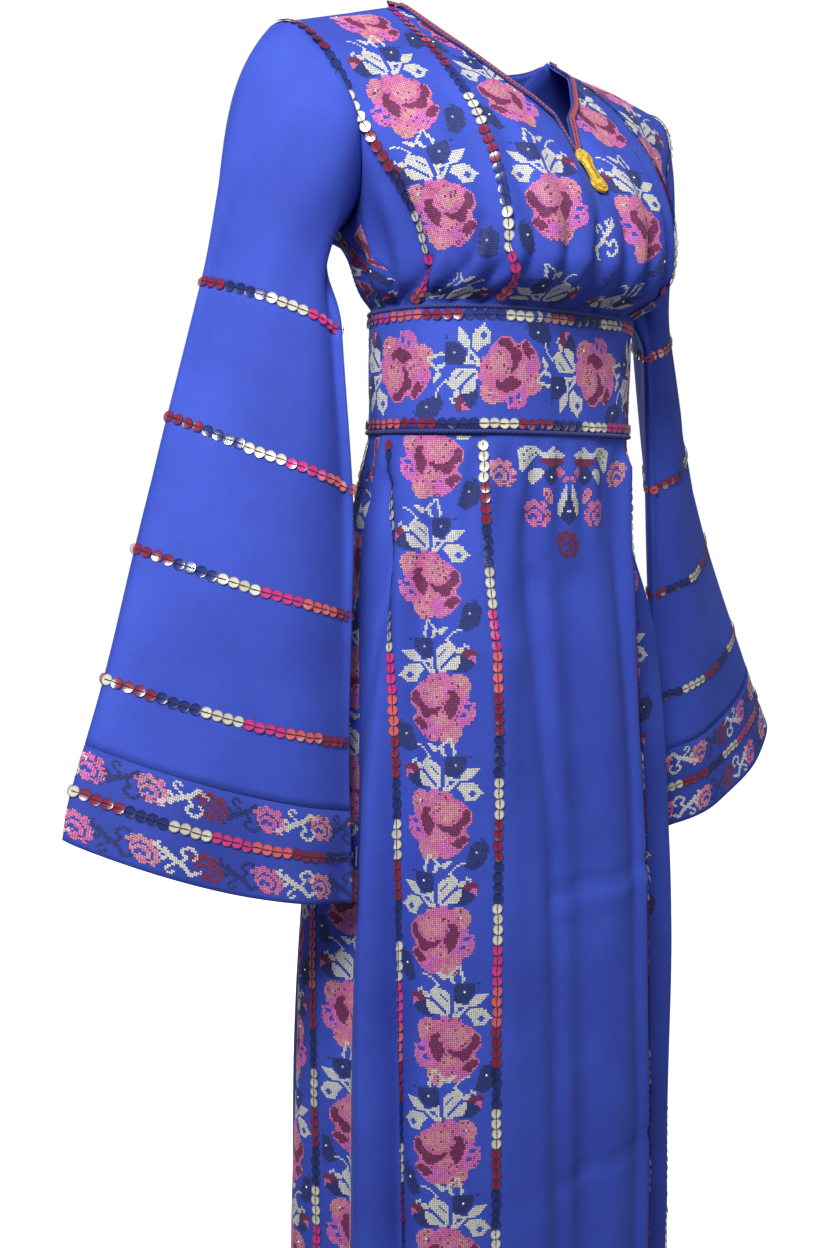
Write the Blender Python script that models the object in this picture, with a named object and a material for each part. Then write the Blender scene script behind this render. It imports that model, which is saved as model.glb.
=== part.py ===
"""A belted Palestinian thobe: an ankle-length dress with bell sleeves, worn with no wearer.

Metres, +Z up. The origin is the middle of the shoulder line, where the dress is held.
The dress faces -Y, and the wearer's left is +X. The cloth pieces are the ones a maker
would cut: a front centre, two embroidered front strips, two side fronts, two embroidered
side panels, a back, and for each arm an upper sleeve, a lower sleeve and a cuff band.
"""

import math

import bpy
import numpy as np
from mathutils import kdtree

COLLECTION = "thobe_dress"

# Cloth walls and the gaps between sewn pieces
CLOTH_WALL = 0.0012
BELT_WALL = 0.0024
TRIM_WALL = 0.0011
SEAM_GAP = 0.0003
LAID_ON = 0.0015
SAME_WAY = -0.30

# Heights, down from the shoulder line
YOKE_Z = -0.290
BELT_TOP_Z = -0.337
BELT_BOTTOM_Z = -0.467
HEM_Z = -1.490

# Belt, neck trim and clasp
BELT_REST = 0.0004
PIPING_RADIUS = 0.0022
TRIM_WIDTH = 0.0085
CLASP_LOBE = 0.0105
CLASP_WAIST = 0.0055
CLASP_LENGTH = 0.058
CLASP_THICK = 0.0024
CLASP_TOP_Z = -0.170
CLASP_REST = 0.0005

# The body below the arms, one row a level: height, half width, depth in front of and behind
# the section's middle, where that middle lies in Y, and how square the section is
BODY_LEVELS = (
    dict(z=-0.240, half_width=0.196, front=0.158, back=0.112, middle=-0.010, square=2.3),
    dict(z=YOKE_Z, half_width=0.184, front=0.170, back=0.106, middle=-0.012, square=2.3),
    dict(z=-0.315, half_width=0.174, front=0.154, back=0.106, middle=-0.014, square=2.3),
    dict(z=BELT_TOP_Z, half_width=0.156, front=0.110, back=0.108, middle=-0.017, square=2.4),
    dict(z=-0.405, half_width=0.155, front=0.107, back=0.108, middle=-0.017, square=2.4),
    dict(z=BELT_BOTTOM_Z, half_width=0.157, front=0.109, back=0.110, middle=-0.017, square=2.4),
    dict(z=-0.560, half_width=0.176, front=0.116, back=0.126, middle=-0.012, square=2.4),
    dict(z=-0.690, half_width=0.198, front=0.134, back=0.146, middle=-0.008, square=2.4),
    dict(z=-0.880, half_width=0.216, front=0.152, back=0.166, middle=-0.004, square=2.4),
    dict(z=-1.120, half_width=0.228, front=0.166, back=0.178, middle=0.000, square=2.4),
    dict(z=HEM_Z, half_width=0.236, front=0.176, back=0.186, middle=0.000, square=2.4),
)

# Where the panels meet, in metres round the body from the centre front
PANEL_SEAMS = (
    dict(z=YOKE_Z, strip_in=0.126, strip_out=0.212, gore_out=0.278, side_out=0.345),
    dict(z=BELT_TOP_Z, strip_in=0.102, strip_out=0.195, gore_out=0.222, side_out=0.274),
    dict(z=BELT_BOTTOM_Z, strip_in=0.112, strip_out=0.222, gore_out=0.238, side_out=0.300),
    dict(z=-0.690, strip_in=0.111, strip_out=0.224, gore_out=0.262, side_out=0.355),
    dict(z=-1.000, strip_in=0.121, strip_out=0.233, gore_out=0.282, side_out=0.385),
    dict(z=HEM_Z, strip_in=0.127, strip_out=0.226, gore_out=0.274, side_out=0.392),
)

# Lengthwise skirt folds: how far round the half body each lies (share, negative on the
# wearer's right), its depth outward, its half width as a share, and where it is full grown
FOLDS = (
    dict(at=-0.920, depth=-0.011, half=0.050, full=-0.80),
    dict(at=-0.790, depth=0.012, half=0.060, full=-0.70),
    dict(at=-0.660, depth=-0.012, half=0.050, full=-0.80),
    dict(at=-0.540, depth=0.010, half=0.055, full=-0.75),
    dict(at=-0.448, depth=-0.011, half=0.022, full=-0.66),
    dict(at=-0.405, depth=0.009, half=0.028, full=-0.70),
    dict(at=-0.350, depth=-0.015, half=0.032, full=-0.64),
    dict(at=-0.130, depth=-0.007, half=0.040, full=-0.75),
    dict(at=-0.050, depth=0.005, half=0.050, full=-0.90),
    dict(at=0.060, depth=0.003, half=0.050, full=-0.80),
    dict(at=0.155, depth=-0.006, half=0.028, full=-0.53),
    dict(at=0.275, depth=-0.012, half=0.040, full=-0.60),
    dict(at=0.345, depth=0.013, half=0.060, full=-0.70),
    dict(at=0.430, depth=-0.013, half=0.035, full=-0.75),
    dict(at=0.540, depth=0.010, half=0.055, full=-0.75),
    dict(at=0.660, depth=-0.012, half=0.050, full=-0.80),
    dict(at=0.790, depth=0.012, half=0.060, full=-0.70),
    dict(at=0.920, depth=-0.011, half=0.050, full=-0.80),
)
GATHERS_ROUND = 26
GATHER_DEPTH = 0.0045

# The neckline from the foot of the centre slit to the neck point, share by share
NECKLINE = (
    dict(share=0.00, x=0.0000, y=-0.121, z=-0.174),
    dict(share=0.25, x=0.0110, y=-0.098, z=-0.133),
    dict(share=0.37, x=0.0320, y=-0.084, z=-0.114),
    dict(share=0.62, x=0.0820, y=-0.030, z=-0.062),
    dict(share=0.875, x=0.1100, y=0.030, z=-0.015),
    dict(share=1.00, x=0.1280, y=0.030, z=-0.0206),
)
NECK_POINT = np.array((0.110, 0.030, -0.015))
STRIP_POINT = np.array((0.128, 0.030, -0.0206))
SHOULDER_POINT = np.array((0.270, 0.030, -0.065))
BACK_NECK = np.array((0.0, 0.085, -0.045))

# The left neck point sits lower than the right one, as the dress hangs in the photograph
LEFT_DROP = 0.016
LEFT_DROP_REACH = 0.065

# How far each sleeve swells outward below its shoulder point
RIGHT_CROWN = 0.60
LEFT_CROWN = -0.05
UNDERARM_EASE = 0.45

# The armhole: a loop through the shoulder point, its front, the underarm and its back
ARMHOLE = dict(
    top_z=-0.065, low_z=-0.258, top_x=0.270, low_x=0.196, middle_y=0.030, front=0.078, back=0.070
)
STRIP_TURN = math.radians(84)
GORE_TURN = math.radians(146)
SIDE_TURN = math.radians(212)

# The sleeve, one row a seam or hem: its outer edge, its inner edge, its half thickness, and
# how far the cloth sags between the edges
SLEEVE_RINGS = (
    dict(name="first", outer=(0.343, 0.058, -0.321), inner=(0.233, -0.032, -0.366), half=0.022, sag=0.000),
    dict(name="second", outer=(0.384, 0.054, -0.455), inner=(0.230, -0.047, -0.524), half=0.025, sag=0.004),
    dict(name="third", outer=(0.428, 0.041, -0.583), inner=(0.232, -0.050, -0.652), half=0.027, sag=0.006),
    dict(name="fourth", outer=(0.474, 0.022, -0.702), inner=(0.236, -0.054, -0.780), half=0.029, sag=0.008),
    dict(name="fifth", outer=(0.516, 0.008, -0.802), inner=(0.238, -0.058, -0.898), half=0.031, sag=0.011),
    dict(name="hem", outer=(0.532, -0.002, -0.844), inner=(0.239, -0.060, -0.944), half=0.032, sag=0.014),
)
CUFF_TOP = 0.55

# Where the back's shoulder and neck lines meet the yoke's lower edge, as shares of its half
BACK_SHOULDER_SHARE = 0.42
BACK_NECK_SHARE = 0.72

# How finely each piece is divided
CENTRE_COLUMNS = 8
STRIP_COLUMNS = 6
GORE_COLUMNS = 5
SIDE_COLUMNS = 5
BACK_ARM_COLUMNS = 5
BACK_SHOULDER_COLUMNS = STRIP_COLUMNS + 1
BACK_NECK_COLUMNS = 4
UPPER_YOKE_ROWS = 3
LOWER_YOKE_ROWS = 5
BODY_ROWS = (
    -0.303, -0.318, BELT_TOP_Z, -0.402, BELT_BOTTOM_Z,
    -0.500, -0.560, -0.640, -0.740, -0.860, -0.990, -1.120, -1.250, -1.370, HEM_Z,
)

BLUE = (0.060, 0.098, 0.560)
DARK_BLUE = (0.030, 0.045, 0.270)
CORAL = (0.72, 0.16, 0.16)
GOLD = (0.85, 0.58, 0.10)


def unit(vector):
    """The vector at length one, along the last axis."""
    return vector / np.linalg.norm(vector, axis=-1, keepdims=True)


def level(table, key, z):
    """A table's value at a height, on a smooth curve through its rows."""
    heights = np.array([row["z"] for row in table])[::-1]
    values = np.array([row[key] for row in table], float)[::-1]
    rises = np.diff(values) / np.diff(heights)
    turning = rises[:-1] * rises[1:] <= 0
    between = 2 * rises[:-1] * rises[1:] / np.where(turning, 1.0, rises[:-1] + rises[1:])
    slopes = np.concatenate([rises[:1], np.where(turning, 0.0, between), rises[-1:]])
    z = float(np.clip(z, heights[0], heights[-1]))
    low = int(np.clip(np.searchsorted(heights, z) - 1, 0, len(heights) - 2))
    span = heights[low + 1] - heights[low]
    t = (z - heights[low]) / span
    rise = 3 * t * t - 2 * t ** 3
    return (
        values[low] * (1 - rise) + values[low + 1] * rise
        + span * (slopes[low] * t * (1 - t) ** 2 - slopes[low + 1] * t * t * (1 - t))
    )


def ramp(start, full, at):
    """0 before start and 1 past full, with an easy rise between."""
    t = float(np.clip((at - start) / (full - start), 0.0, 1.0))
    return t * t * (3 - 2 * t)


class BodyRing:
    """One level section of the body, read by the distance round it from the centre front."""

    def __init__(self, z):
        angle = np.linspace(0.0, math.pi, 361)
        power = 2.0 / level(BODY_LEVELS, "square", z)
        width = level(BODY_LEVELS, "half_width", z)
        cosine = np.cos(angle)
        depth = np.where(
            cosine > 0, level(BODY_LEVELS, "front", z), level(BODY_LEVELS, "back", z)
        )
        self.z = z
        self.x = width * np.sin(angle) ** power
        self.y = level(BODY_LEVELS, "middle", z) - depth * np.sign(cosine) * np.abs(cosine) ** power
        steps = np.hypot(np.diff(self.x), np.diff(self.y))
        self.round = np.concatenate([[0.0], np.cumsum(steps)])
        self.half_girth = self.round[-1]

    def plain(self, distance):
        """The point that far round, before folds."""
        side = -1.0 if distance < 0 else 1.0
        x = np.interp(abs(distance), self.round, self.x)
        y = np.interp(abs(distance), self.round, self.y)
        return np.array((side * x, y, self.z))

    def outward(self, distance):
        """The level direction that faces out of the cloth there."""
        reach = 0.004
        ahead = self.plain(distance + reach) - self.plain(distance - reach)
        return unit(np.array((-ahead[1], ahead[0], 0.0))) * (-1.0)

    def fold(self, distance):
        """How far the folds and the gathers move the cloth outward."""
        share = distance / self.half_girth
        moved = 0.0
        for fold in FOLDS:
            grown = ramp(BELT_BOTTOM_Z, fold["full"], self.z)
            moved += grown * fold["depth"] * math.exp(-((share - fold["at"]) / fold["half"]) ** 2)
        loose = ramp(BELT_TOP_Z, BELT_TOP_Z + 0.018, self.z)
        below = ramp(BELT_BOTTOM_Z, BELT_BOTTOM_Z - 0.03, self.z) * (1 - ramp(-0.50, -0.64, self.z))
        wave = math.cos(share * math.pi * GATHERS_ROUND)
        return moved + GATHER_DEPTH * (loose + 0.5 * below) * wave

    def point(self, distance, clear=0.0):
        """The cloth's outer point that far round, moved out by clear."""
        if abs(distance) > self.half_girth - 1e-6:
            distance = math.copysign(self.half_girth - 1e-6, distance)
        return self.plain(distance) + self.outward(distance) * (self.fold(distance) + clear)


def seam(name, ring):
    """The distance round to a named seam on a body ring."""
    return level(PANEL_SEAMS, name, ring.z)


def armhole_point(turn):
    """A point of the left armhole; the turn runs from the shoulder over the front."""
    hole = ARMHOLE
    low = (1 - math.cos(turn)) / 2
    reach = hole["front"] if math.sin(turn) > 0 else hole["back"]
    return np.array((
        hole["top_x"] + (hole["low_x"] - hole["top_x"]) * low,
        hole["middle_y"] - reach * math.sin(turn),
        hole["top_z"] + (hole["low_z"] - hole["top_z"]) * low,
    ))


def bent_line(start, leave, arrive, end, shares):
    """Points on a smooth curve that leaves and arrives along the given directions."""
    reach = 0.36 * np.linalg.norm(end - start)
    handles = (start, start + reach * unit(leave), end - reach * unit(arrive), end)
    points = []
    for t in shares:
        weights = ((1 - t) ** 3, 3 * t * (1 - t) ** 2, 3 * t * t * (1 - t), t ** 3)
        points.append(sum(w * h for w, h in zip(weights, handles)))
    return np.array(points)


def filled_patch(top, bottom, first, last):
    """Rows of points that fill a four-sided patch between its edges."""
    rows, columns = len(first), len(top)
    t = np.linspace(0, 1, rows)[:, None, None]
    s = np.linspace(0, 1, columns)[None, :, None]
    across = (1 - s) * first[:, None] + s * last[:, None]
    down = (1 - t) * top[None] + t * bottom[None]
    corners = (
        (1 - s) * (1 - t) * top[0] + s * (1 - t) * top[-1]
        + (1 - s) * t * bottom[0] + s * t * bottom[-1]
    )
    return across + down - corners


def neckline_points(shares):
    """Points of the left half of the front neckline, from the slit's foot to the neck point."""
    known = [row["share"] for row in NECKLINE]
    return np.array([
        [np.interp(share, known, [row[axis] for row in NECKLINE]) for axis in "xyz"]
        for share in shares
    ])


def ring_stretch(ring, start, end, columns):
    """Points along a body ring between two distances."""
    return np.array([ring.point(d) for d in np.linspace(start, end, columns + 1)])


def down_at(ring, distance):
    """The way the cloth runs down there, where it meets the yoke's lower edge."""
    below = BodyRing(ring.z - 0.010)
    share = distance / ring.half_girth
    lower = below.plain(share * below.half_girth)
    above = BodyRing(ring.z + 0.010)
    upper = above.plain(share * above.half_girth)
    return unit(lower - upper)


def yoke_patches():
    """The left half of the cloth from neck, shoulder and armhole to the first full ring."""
    ring = BodyRing(YOKE_Z)
    rows = UPPER_YOKE_ROWS + LOWER_YOKE_ROWS
    even = np.linspace(0, 1, rows + 1)
    ends = [0.0] + [seam(n, ring) for n in ("strip_in", "strip_out", "gore_out", "side_out")]
    ends.append(ring.half_girth)
    foot = [ring.point(d) for d in ends]
    run = [down_at(ring, d) for d in ends]

    slit_foot = neckline_points([0.0])[0]
    centre_line = bent_line(slit_foot, np.array((0, -0.65, -1.0)), run[0], foot[0], even)
    strip_line = bent_line(STRIP_POINT, np.array((-0.12, -1.25, -1.0)), run[1], foot[1], even)
    turns = np.linspace(0, STRIP_TURN, UPPER_YOKE_ROWS + 1)
    arm_front = np.array([armhole_point(t) for t in turns])
    lower = np.linspace(0, 1, LOWER_YOKE_ROWS + 1)
    leave = np.array((-0.35, -0.30, -0.9))
    side_front_line = bent_line(arm_front[-1], leave, run[2], foot[2], lower)
    strip_edge = np.concatenate([arm_front, side_front_line[1:]])

    gore_turns = np.linspace(STRIP_TURN, GORE_TURN, GORE_COLUMNS + 1)
    gore_top = np.array([armhole_point(t) for t in gore_turns])
    gore_line = bent_line(gore_top[-1], np.array((-0.1, -0.1, -1.0)), run[3], foot[3], lower)
    side_turns = np.linspace(GORE_TURN, SIDE_TURN, SIDE_COLUMNS + 1)
    side_top = np.array([armhole_point(t) for t in side_turns])
    side_line = bent_line(side_top[-1], np.array((-0.1, 0.0, -1.0)), run[4], foot[4], lower)

    back_turns = np.linspace(SIDE_TURN, 2 * math.pi, BACK_ARM_COLUMNS + 1)
    arm_back = np.array([armhole_point(t) for t in back_turns])
    back_girth = ends[5] - ends[4]
    at_shoulder = ends[4] + BACK_SHOULDER_SHARE * back_girth
    at_neck = ends[4] + BACK_NECK_SHARE * back_girth
    leave = np.array((-0.85, 1.0, -0.8))
    shoulder_foot = ring.point(at_shoulder)
    neck_foot = ring.point(at_neck)
    shoulder_line = bent_line(
        SHOULDER_POINT, leave, down_at(ring, at_shoulder), shoulder_foot, lower
    )
    leave = np.array((-0.1, 1.3, -1.0))
    neck_line = bent_line(NECK_POINT, leave, down_at(ring, at_neck), neck_foot, lower)
    back_line = bent_line(BACK_NECK, np.array((0, 0.5, -1.0)), run[5], foot[5], lower)
    shoulder = np.linspace(0, 1, STRIP_COLUMNS + 1)[:, None]
    neck_turn = np.linspace(0, math.pi / 2, BACK_NECK_COLUMNS + 1)
    back_neck = np.array([
        (
            NECK_POINT[0] * math.cos(t),
            NECK_POINT[1] + (BACK_NECK[1] - NECK_POINT[1]) * math.sin(t),
            NECK_POINT[2] + (BACK_NECK[2] - NECK_POINT[2]) * math.sin(t),
        )
        for t in neck_turn
    ])
    centre = filled_patch(
        neckline_points(np.linspace(0, 1, CENTRE_COLUMNS + 1)),
        ring_stretch(ring, 0.0, ends[1], CENTRE_COLUMNS), centre_line, strip_line,
    )
    strip = filled_patch(
        STRIP_POINT + shoulder * (SHOULDER_POINT - STRIP_POINT),
        ring_stretch(ring, ends[1], ends[2], STRIP_COLUMNS), strip_line, strip_edge,
    )
    gore = filled_patch(
        gore_top, ring_stretch(ring, ends[2], ends[3], GORE_COLUMNS), side_front_line, gore_line
    )
    side = filled_patch(
        side_top, ring_stretch(ring, ends[3], ends[4], SIDE_COLUMNS), gore_line, side_line
    )
    back_arm = filled_patch(
        arm_back, ring_stretch(ring, ends[4], at_shoulder, BACK_ARM_COLUMNS),
        side_line, shoulder_line,
    )
    back_middle = filled_patch(
        np.concatenate([SHOULDER_POINT + shoulder * (STRIP_POINT - SHOULDER_POINT), [NECK_POINT]]),
        ring_stretch(ring, at_shoulder, at_neck, BACK_SHOULDER_COLUMNS), shoulder_line, neck_line,
    )
    back_centre = filled_patch(
        back_neck, ring_stretch(ring, at_neck, ends[5], BACK_NECK_COLUMNS), neck_line, back_line
    )
    back = np.concatenate([back_arm, back_middle[:, 1:], back_centre[:, 1:]], axis=1)
    return dict(centre=centre, strip=strip, gore=gore, side=side, back=back)


def back_distances(ring):
    """Distances round to the back's columns, from its side seam to the centre back."""
    start = seam("side_out", ring)
    girth = ring.half_girth - start
    stops = [0.0, BACK_SHOULDER_SHARE, BACK_NECK_SHARE, 1.0]
    counts = (BACK_ARM_COLUMNS, BACK_SHOULDER_COLUMNS, BACK_NECK_COLUMNS)
    shares = [np.linspace(a, b, n + 1)[1:] for a, b, n in zip(stops, stops[1:], counts)]
    return start + girth * np.concatenate([[0.0], *shares])


def body_grids(side):
    """One half of each body panel (side 1 left, -1 right), laid out as if on the left."""
    halves = yoke_patches()
    across = np.array((side, 1.0, 1.0))
    columns = dict(
        centre=(None, "strip_in", CENTRE_COLUMNS),
        strip=("strip_in", "strip_out", STRIP_COLUMNS),
        gore=("strip_out", "gore_out", GORE_COLUMNS),
        side=("gore_out", "side_out", SIDE_COLUMNS),
    )
    for z in BODY_ROWS:
        ring = BodyRing(z)
        for name, (start, end, count) in columns.items():
            low = seam(start, ring) if start else 0.0
            row = ring_stretch(ring, side * low, side * seam(end, ring), count) * across
            halves[name] = np.concatenate([halves[name], row[None]])
        row = np.array([ring.point(side * d) for d in back_distances(ring)]) * across
        halves["back"] = np.concatenate([halves["back"], row[None]])
    return halves


def sleeve_section(ring, turns):
    """Points round a sleeve ring, at the armhole's own turns, so that its lines run true."""
    outer = np.array(ring["outer"])
    inner = np.array(ring["inner"])
    middle = (outer + inner) / 2
    across = (outer - inner) / 2
    thick = unit(np.cross(across, np.array((0.25, 0.0, -1.0)))) * ring["half"]
    if thick[1] > 0:
        thick = -thick
    sag = np.array((0.0, 0.0, -ring["sag"]))
    return np.array([
        middle + across * math.cos(t) + thick * math.sin(t) + sag * math.sin(t) ** 2
        for t in turns
    ])


def sleeve_grids(crown):
    """A left arm's three tubes, as rows round the arm, with its crown that full."""
    turns = np.concatenate([
        np.linspace(0, STRIP_TURN, UPPER_YOKE_ROWS + 1),
        np.linspace(STRIP_TURN, GORE_TURN, GORE_COLUMNS + 1)[1:],
        np.linspace(GORE_TURN, SIDE_TURN, SIDE_COLUMNS + 1)[1:],
        np.linspace(SIDE_TURN, 2 * math.pi, BACK_ARM_COLUMNS + 1)[1:-1],
    ])
    top = np.array([armhole_point(t) for t in turns]) + np.array((SEAM_GAP, 0.0, 0.0))
    rings = [sleeve_section(ring, turns) for ring in SLEEVE_RINGS]
    first = rings[0]
    high, low = np.maximum(np.cos(turns), 0), np.maximum(-np.cos(turns), 0)
    outward = 0.40 + crown * high + UNDERARM_EASE * low
    leave = np.stack([outward, -0.10 * np.sin(turns), -1.1 + 0 * turns], -1)
    upper = np.stack([
        bent_line(a, out, b_next - b, b, np.linspace(0, 1, 6))
        for a, out, b, b_next in zip(top, leave, first, rings[1])
    ], axis=1)
    cuff = rings[3] + CUFF_TOP * (rings[4] - rings[3])
    lower = np.stack([first, (first + rings[1]) / 2, rings[1], rings[2], rings[3], cuff])
    band = np.stack([cuff, rings[4], rings[5]])
    tubes = dict(sleeve_upper=upper, sleeve_lower=lower, cuff_band=band)
    return {name: grid[:, ::-1] for name, grid in tubes.items()}


def mirrored(grid):
    """The other side's copy, with its columns turned round so that it still faces out."""
    return grid[:, ::-1] * np.array((-1.0, 1.0, 1.0))


class Panel:
    """One cloth piece: its outer points, and whether its columns close into a tube."""

    def __init__(self, name, grid, tube=False):
        self.name = name
        self.grid = grid
        self.tube = tube
        self.inward = -self.normals()

    def normals(self):
        """The outward direction at each point, from its neighbours in the piece."""
        if self.tube:
            ahead = np.roll(self.grid, -1, 1) - np.roll(self.grid, 1, 1)
        else:
            ahead = np.gradient(self.grid, axis=1)
        down = np.gradient(self.grid, axis=0)
        return unit(np.cross(down, ahead))

    def pull_back(self):
        """Draws each edge back by half a seam gap, along the cloth."""
        edges = [(0, 1), (-1, -2)]
        moves = [(np.s_[a], self.edge_way(np.s_[a], np.s_[b])) for a, b in edges]
        if not self.tube:
            moves += [(np.s_[:, a], self.edge_way(np.s_[:, a], np.s_[:, b])) for a, b in edges]
        for place, way in moves:
            self.grid[place] += way * SEAM_GAP / 2

    def edge_way(self, edge, beside):
        """Unit steps from an edge into the piece, square to the edge and flat in the cloth."""
        line = self.grid[edge]
        if self.tube:
            along = np.roll(line, -1, 0) - np.roll(line, 1, 0)
        else:
            along = np.gradient(line, axis=0)
        way = unit(np.cross(along, self.inward[edge]))
        toward = np.sum(way * (self.grid[beside] - line), axis=-1, keepdims=True)
        return way * np.sign(toward)


def share_seam_directions(panels):
    """Gives the pieces that meet one inward direction, so that their edges match.

    Body and arm pieces share theirs too, but not under the arm, where they face apart.
    """
    places = [(p, index) for p in panels for index in np.ndindex(p.grid.shape[:2])]
    tree = kdtree.KDTree(len(places))
    for number, (panel, index) in enumerate(places):
        tree.insert(panel.grid[index], number)
    tree.balance()
    shared = []
    for panel, index in places:
        found = [places[n] for _, n, _ in tree.find_range(panel.grid[index], 2 * SEAM_GAP)]
        own = unit(sum(p.inward[i] for p, i in found if p.tube == panel.tube))
        others = [p.inward[i] for p, i in found if p.tube != panel.tube]
        if others and unit(sum(others)) @ own > SAME_WAY:
            own = unit(own + unit(sum(others)))
        shared.append(own)
    for (panel, index), direction in zip(places, shared):
        panel.inward[index] = direction


def material(name, colour, roughness, metallic=0.0):
    """A plain finish of one colour."""
    made = bpy.data.materials.new(name)
    made.use_nodes = True
    shader = made.node_tree.nodes["Principled BSDF"]
    shader.inputs["Base Color"].default_value = (*colour, 1.0)
    shader.inputs["Roughness"].default_value = roughness
    shader.inputs["Metallic"].default_value = metallic
    return made


def add_object(name, points, faces, finish, collection):
    """One object from points and faces, shaded smooth."""
    mesh = bpy.data.meshes.new(name)
    mesh.from_pydata([tuple(p) for p in points], [], faces)
    mesh.materials.append(finish)
    mesh.shade_smooth()
    mesh.set_sharp_from_angle(angle=math.radians(45))
    made = bpy.data.objects.new(name, mesh)
    collection.objects.link(made)
    return made


def rim_faces(points, a, b, below):
    """The two faces of a wall's edge, split the same way on both sides of a seam."""
    if points[a][2] > points[b][2]:
        return [(a, b, a + below), (b, b + below, a + below)]
    return [(a, b, b + below), (a, b + below, a + below)]


def add_wall(name, outer, inner, tube, finish, collection):
    """A closed wall between an outer and an inner grid of points."""
    rows, columns = outer.shape[:2]
    points = np.concatenate([outer.reshape(-1, 3), inner.reshape(-1, 3)])
    below = rows * columns
    spans = columns if tube else columns - 1
    faces = []
    for row in range(rows - 1):
        for column in range(spans):
            after = (column + 1) % columns
            a, b = row * columns + column, row * columns + after
            c, d = b + columns, a + columns
            faces.append((a, d, c, b))
            faces.append((a + below, b + below, c + below, d + below))
    for column in range(spans):
        after = (column + 1) % columns
        faces += rim_faces(points, column, after, below)
        last = (rows - 1) * columns
        faces += rim_faces(points, last + after, last + column, below)
    if not tube:
        for row in range(rows - 1):
            start, end = row * columns, (row + 1) * columns
            faces += rim_faces(points, end, start, below)
            faces += rim_faces(points, start + columns - 1, end + columns - 1, below)
    return add_object(name, points, faces, finish, collection)


def settled(grid):
    """The points with the cloth round the left neck point let down."""
    away = np.linalg.norm(grid - NECK_POINT, axis=-1, keepdims=True)
    return grid - np.array((0.0, 0.0, LEFT_DROP)) * np.exp(-((away / LEFT_DROP_REACH) ** 2))


def cloth_panels():
    """All the cloth pieces, ready to be given their walls."""
    left, right = body_grids(1), body_grids(-1)
    centre = np.concatenate([mirrored(right["centre"]), left["centre"][:, 1:]], axis=1)
    back = np.concatenate([left["back"], mirrored(right["back"])[:, 1:]], axis=1)
    panels = [Panel("front_centre", settled(centre)), Panel("back", settled(back))]
    for part, name in (("strip", "front_strip"), ("gore", "side_front"), ("side", "side_panel")):
        panels.append(Panel(name + "_left", settled(left[part])))
        panels.append(Panel(name + "_right", settled(mirrored(right[part]))))
    for name, grid in sleeve_grids(LEFT_CROWN).items():
        panels.append(Panel(name + "_left", settled(grid), tube=True))
    for name, grid in sleeve_grids(RIGHT_CROWN).items():
        panels.append(Panel(name + "_right", mirrored(grid), tube=True))
    share_seam_directions(panels)
    return panels


def round_distances(z):
    """Distances all the way round a body ring, at the panels' own columns."""
    ring = BodyRing(z)
    ends = [0.0] + [seam(n, ring) for n in ("strip_in", "strip_out", "gore_out", "side_out")]
    counts = (CENTRE_COLUMNS, STRIP_COLUMNS, GORE_COLUMNS, SIDE_COLUMNS)
    shares = [np.linspace(a, b, n + 1)[1:] for a, b, n in zip(ends, ends[1:], counts)]
    half = np.concatenate([*shares, back_distances(ring)[1:]])
    return np.concatenate([-half[-2::-1], [0.0], half])


def belt(collection, finish, edge_finish):
    """The wide belt with a cord-piped upper and lower edge."""
    low, high = BELT_BOTTOM_Z + 2 * PIPING_RADIUS, BELT_TOP_Z - 2 * PIPING_RADIUS
    heights = (high - SEAM_GAP, -0.402, low + SEAM_GAP)
    shells = []
    for clear in (BELT_REST + BELT_WALL, BELT_REST):
        shells.append(np.array([
            [BodyRing(z).point(d, clear) for d in round_distances(z)] for z in heights
        ]))
    made = [add_wall("belt", shells[0], shells[1], True, finish, collection)]
    for name, z in (
        ("belt_piping_top", BELT_TOP_Z - PIPING_RADIUS),
        ("belt_piping_bottom", BELT_BOTTOM_Z + PIPING_RADIUS),
    ):
        ring = BodyRing(z)
        clear = BELT_REST + PIPING_RADIUS
        line = [ring.point(d, clear) for d in round_distances(z)]
        made.append(add_loop(name, line, PIPING_RADIUS, edge_finish, collection))
    return made


def add_loop(name, line, radius, finish, collection):
    """A closed cord through the points of a line."""
    curve = bpy.data.curves.new(name, "CURVE")
    curve.dimensions = "3D"
    curve.bevel_depth = radius
    curve.bevel_resolution = 0
    curve.materials.append(finish)
    spline = curve.splines.new("POLY")
    spline.points.add(len(line) - 1)
    for point, place in zip(spline.points, line):
        point.co = (*place, 1.0)
    spline.use_cyclic_u = True
    made = bpy.data.objects.new(name, curve)
    collection.objects.link(made)
    return made


def neck_trim(front, back, collection, finish):
    """The embroidered edging round the neck and down both sides of the slit."""
    neck = slice(BACK_ARM_COLUMNS + BACK_SHOULDER_COLUMNS, None)
    last = -(BACK_ARM_COLUMNS + BACK_SHOULDER_COLUMNS)
    edge = np.concatenate([front.grid[0][1:-1], back.grid[0][neck][:last][1:-1]])
    out = -np.concatenate([front.inward[0][1:-1], back.inward[0][neck][:last][1:-1]])
    along = unit(np.roll(edge, -1, 0) - np.roll(edge, 1, 0))
    into = unit(np.cross(along, out))
    behind = slice(len(front.grid[0]) - 2, None)
    into[behind] = unit((back.grid[1] - back.grid[0])[neck][:last][1:-1])
    base = np.stack([edge, edge + into * TRIM_WIDTH])
    lift = np.stack([out, out])
    outer = base + lift * (LAID_ON + TRIM_WALL)
    inner = base + lift * LAID_ON
    return add_wall("neck_trim", outer, inner, True, finish, collection)


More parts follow.
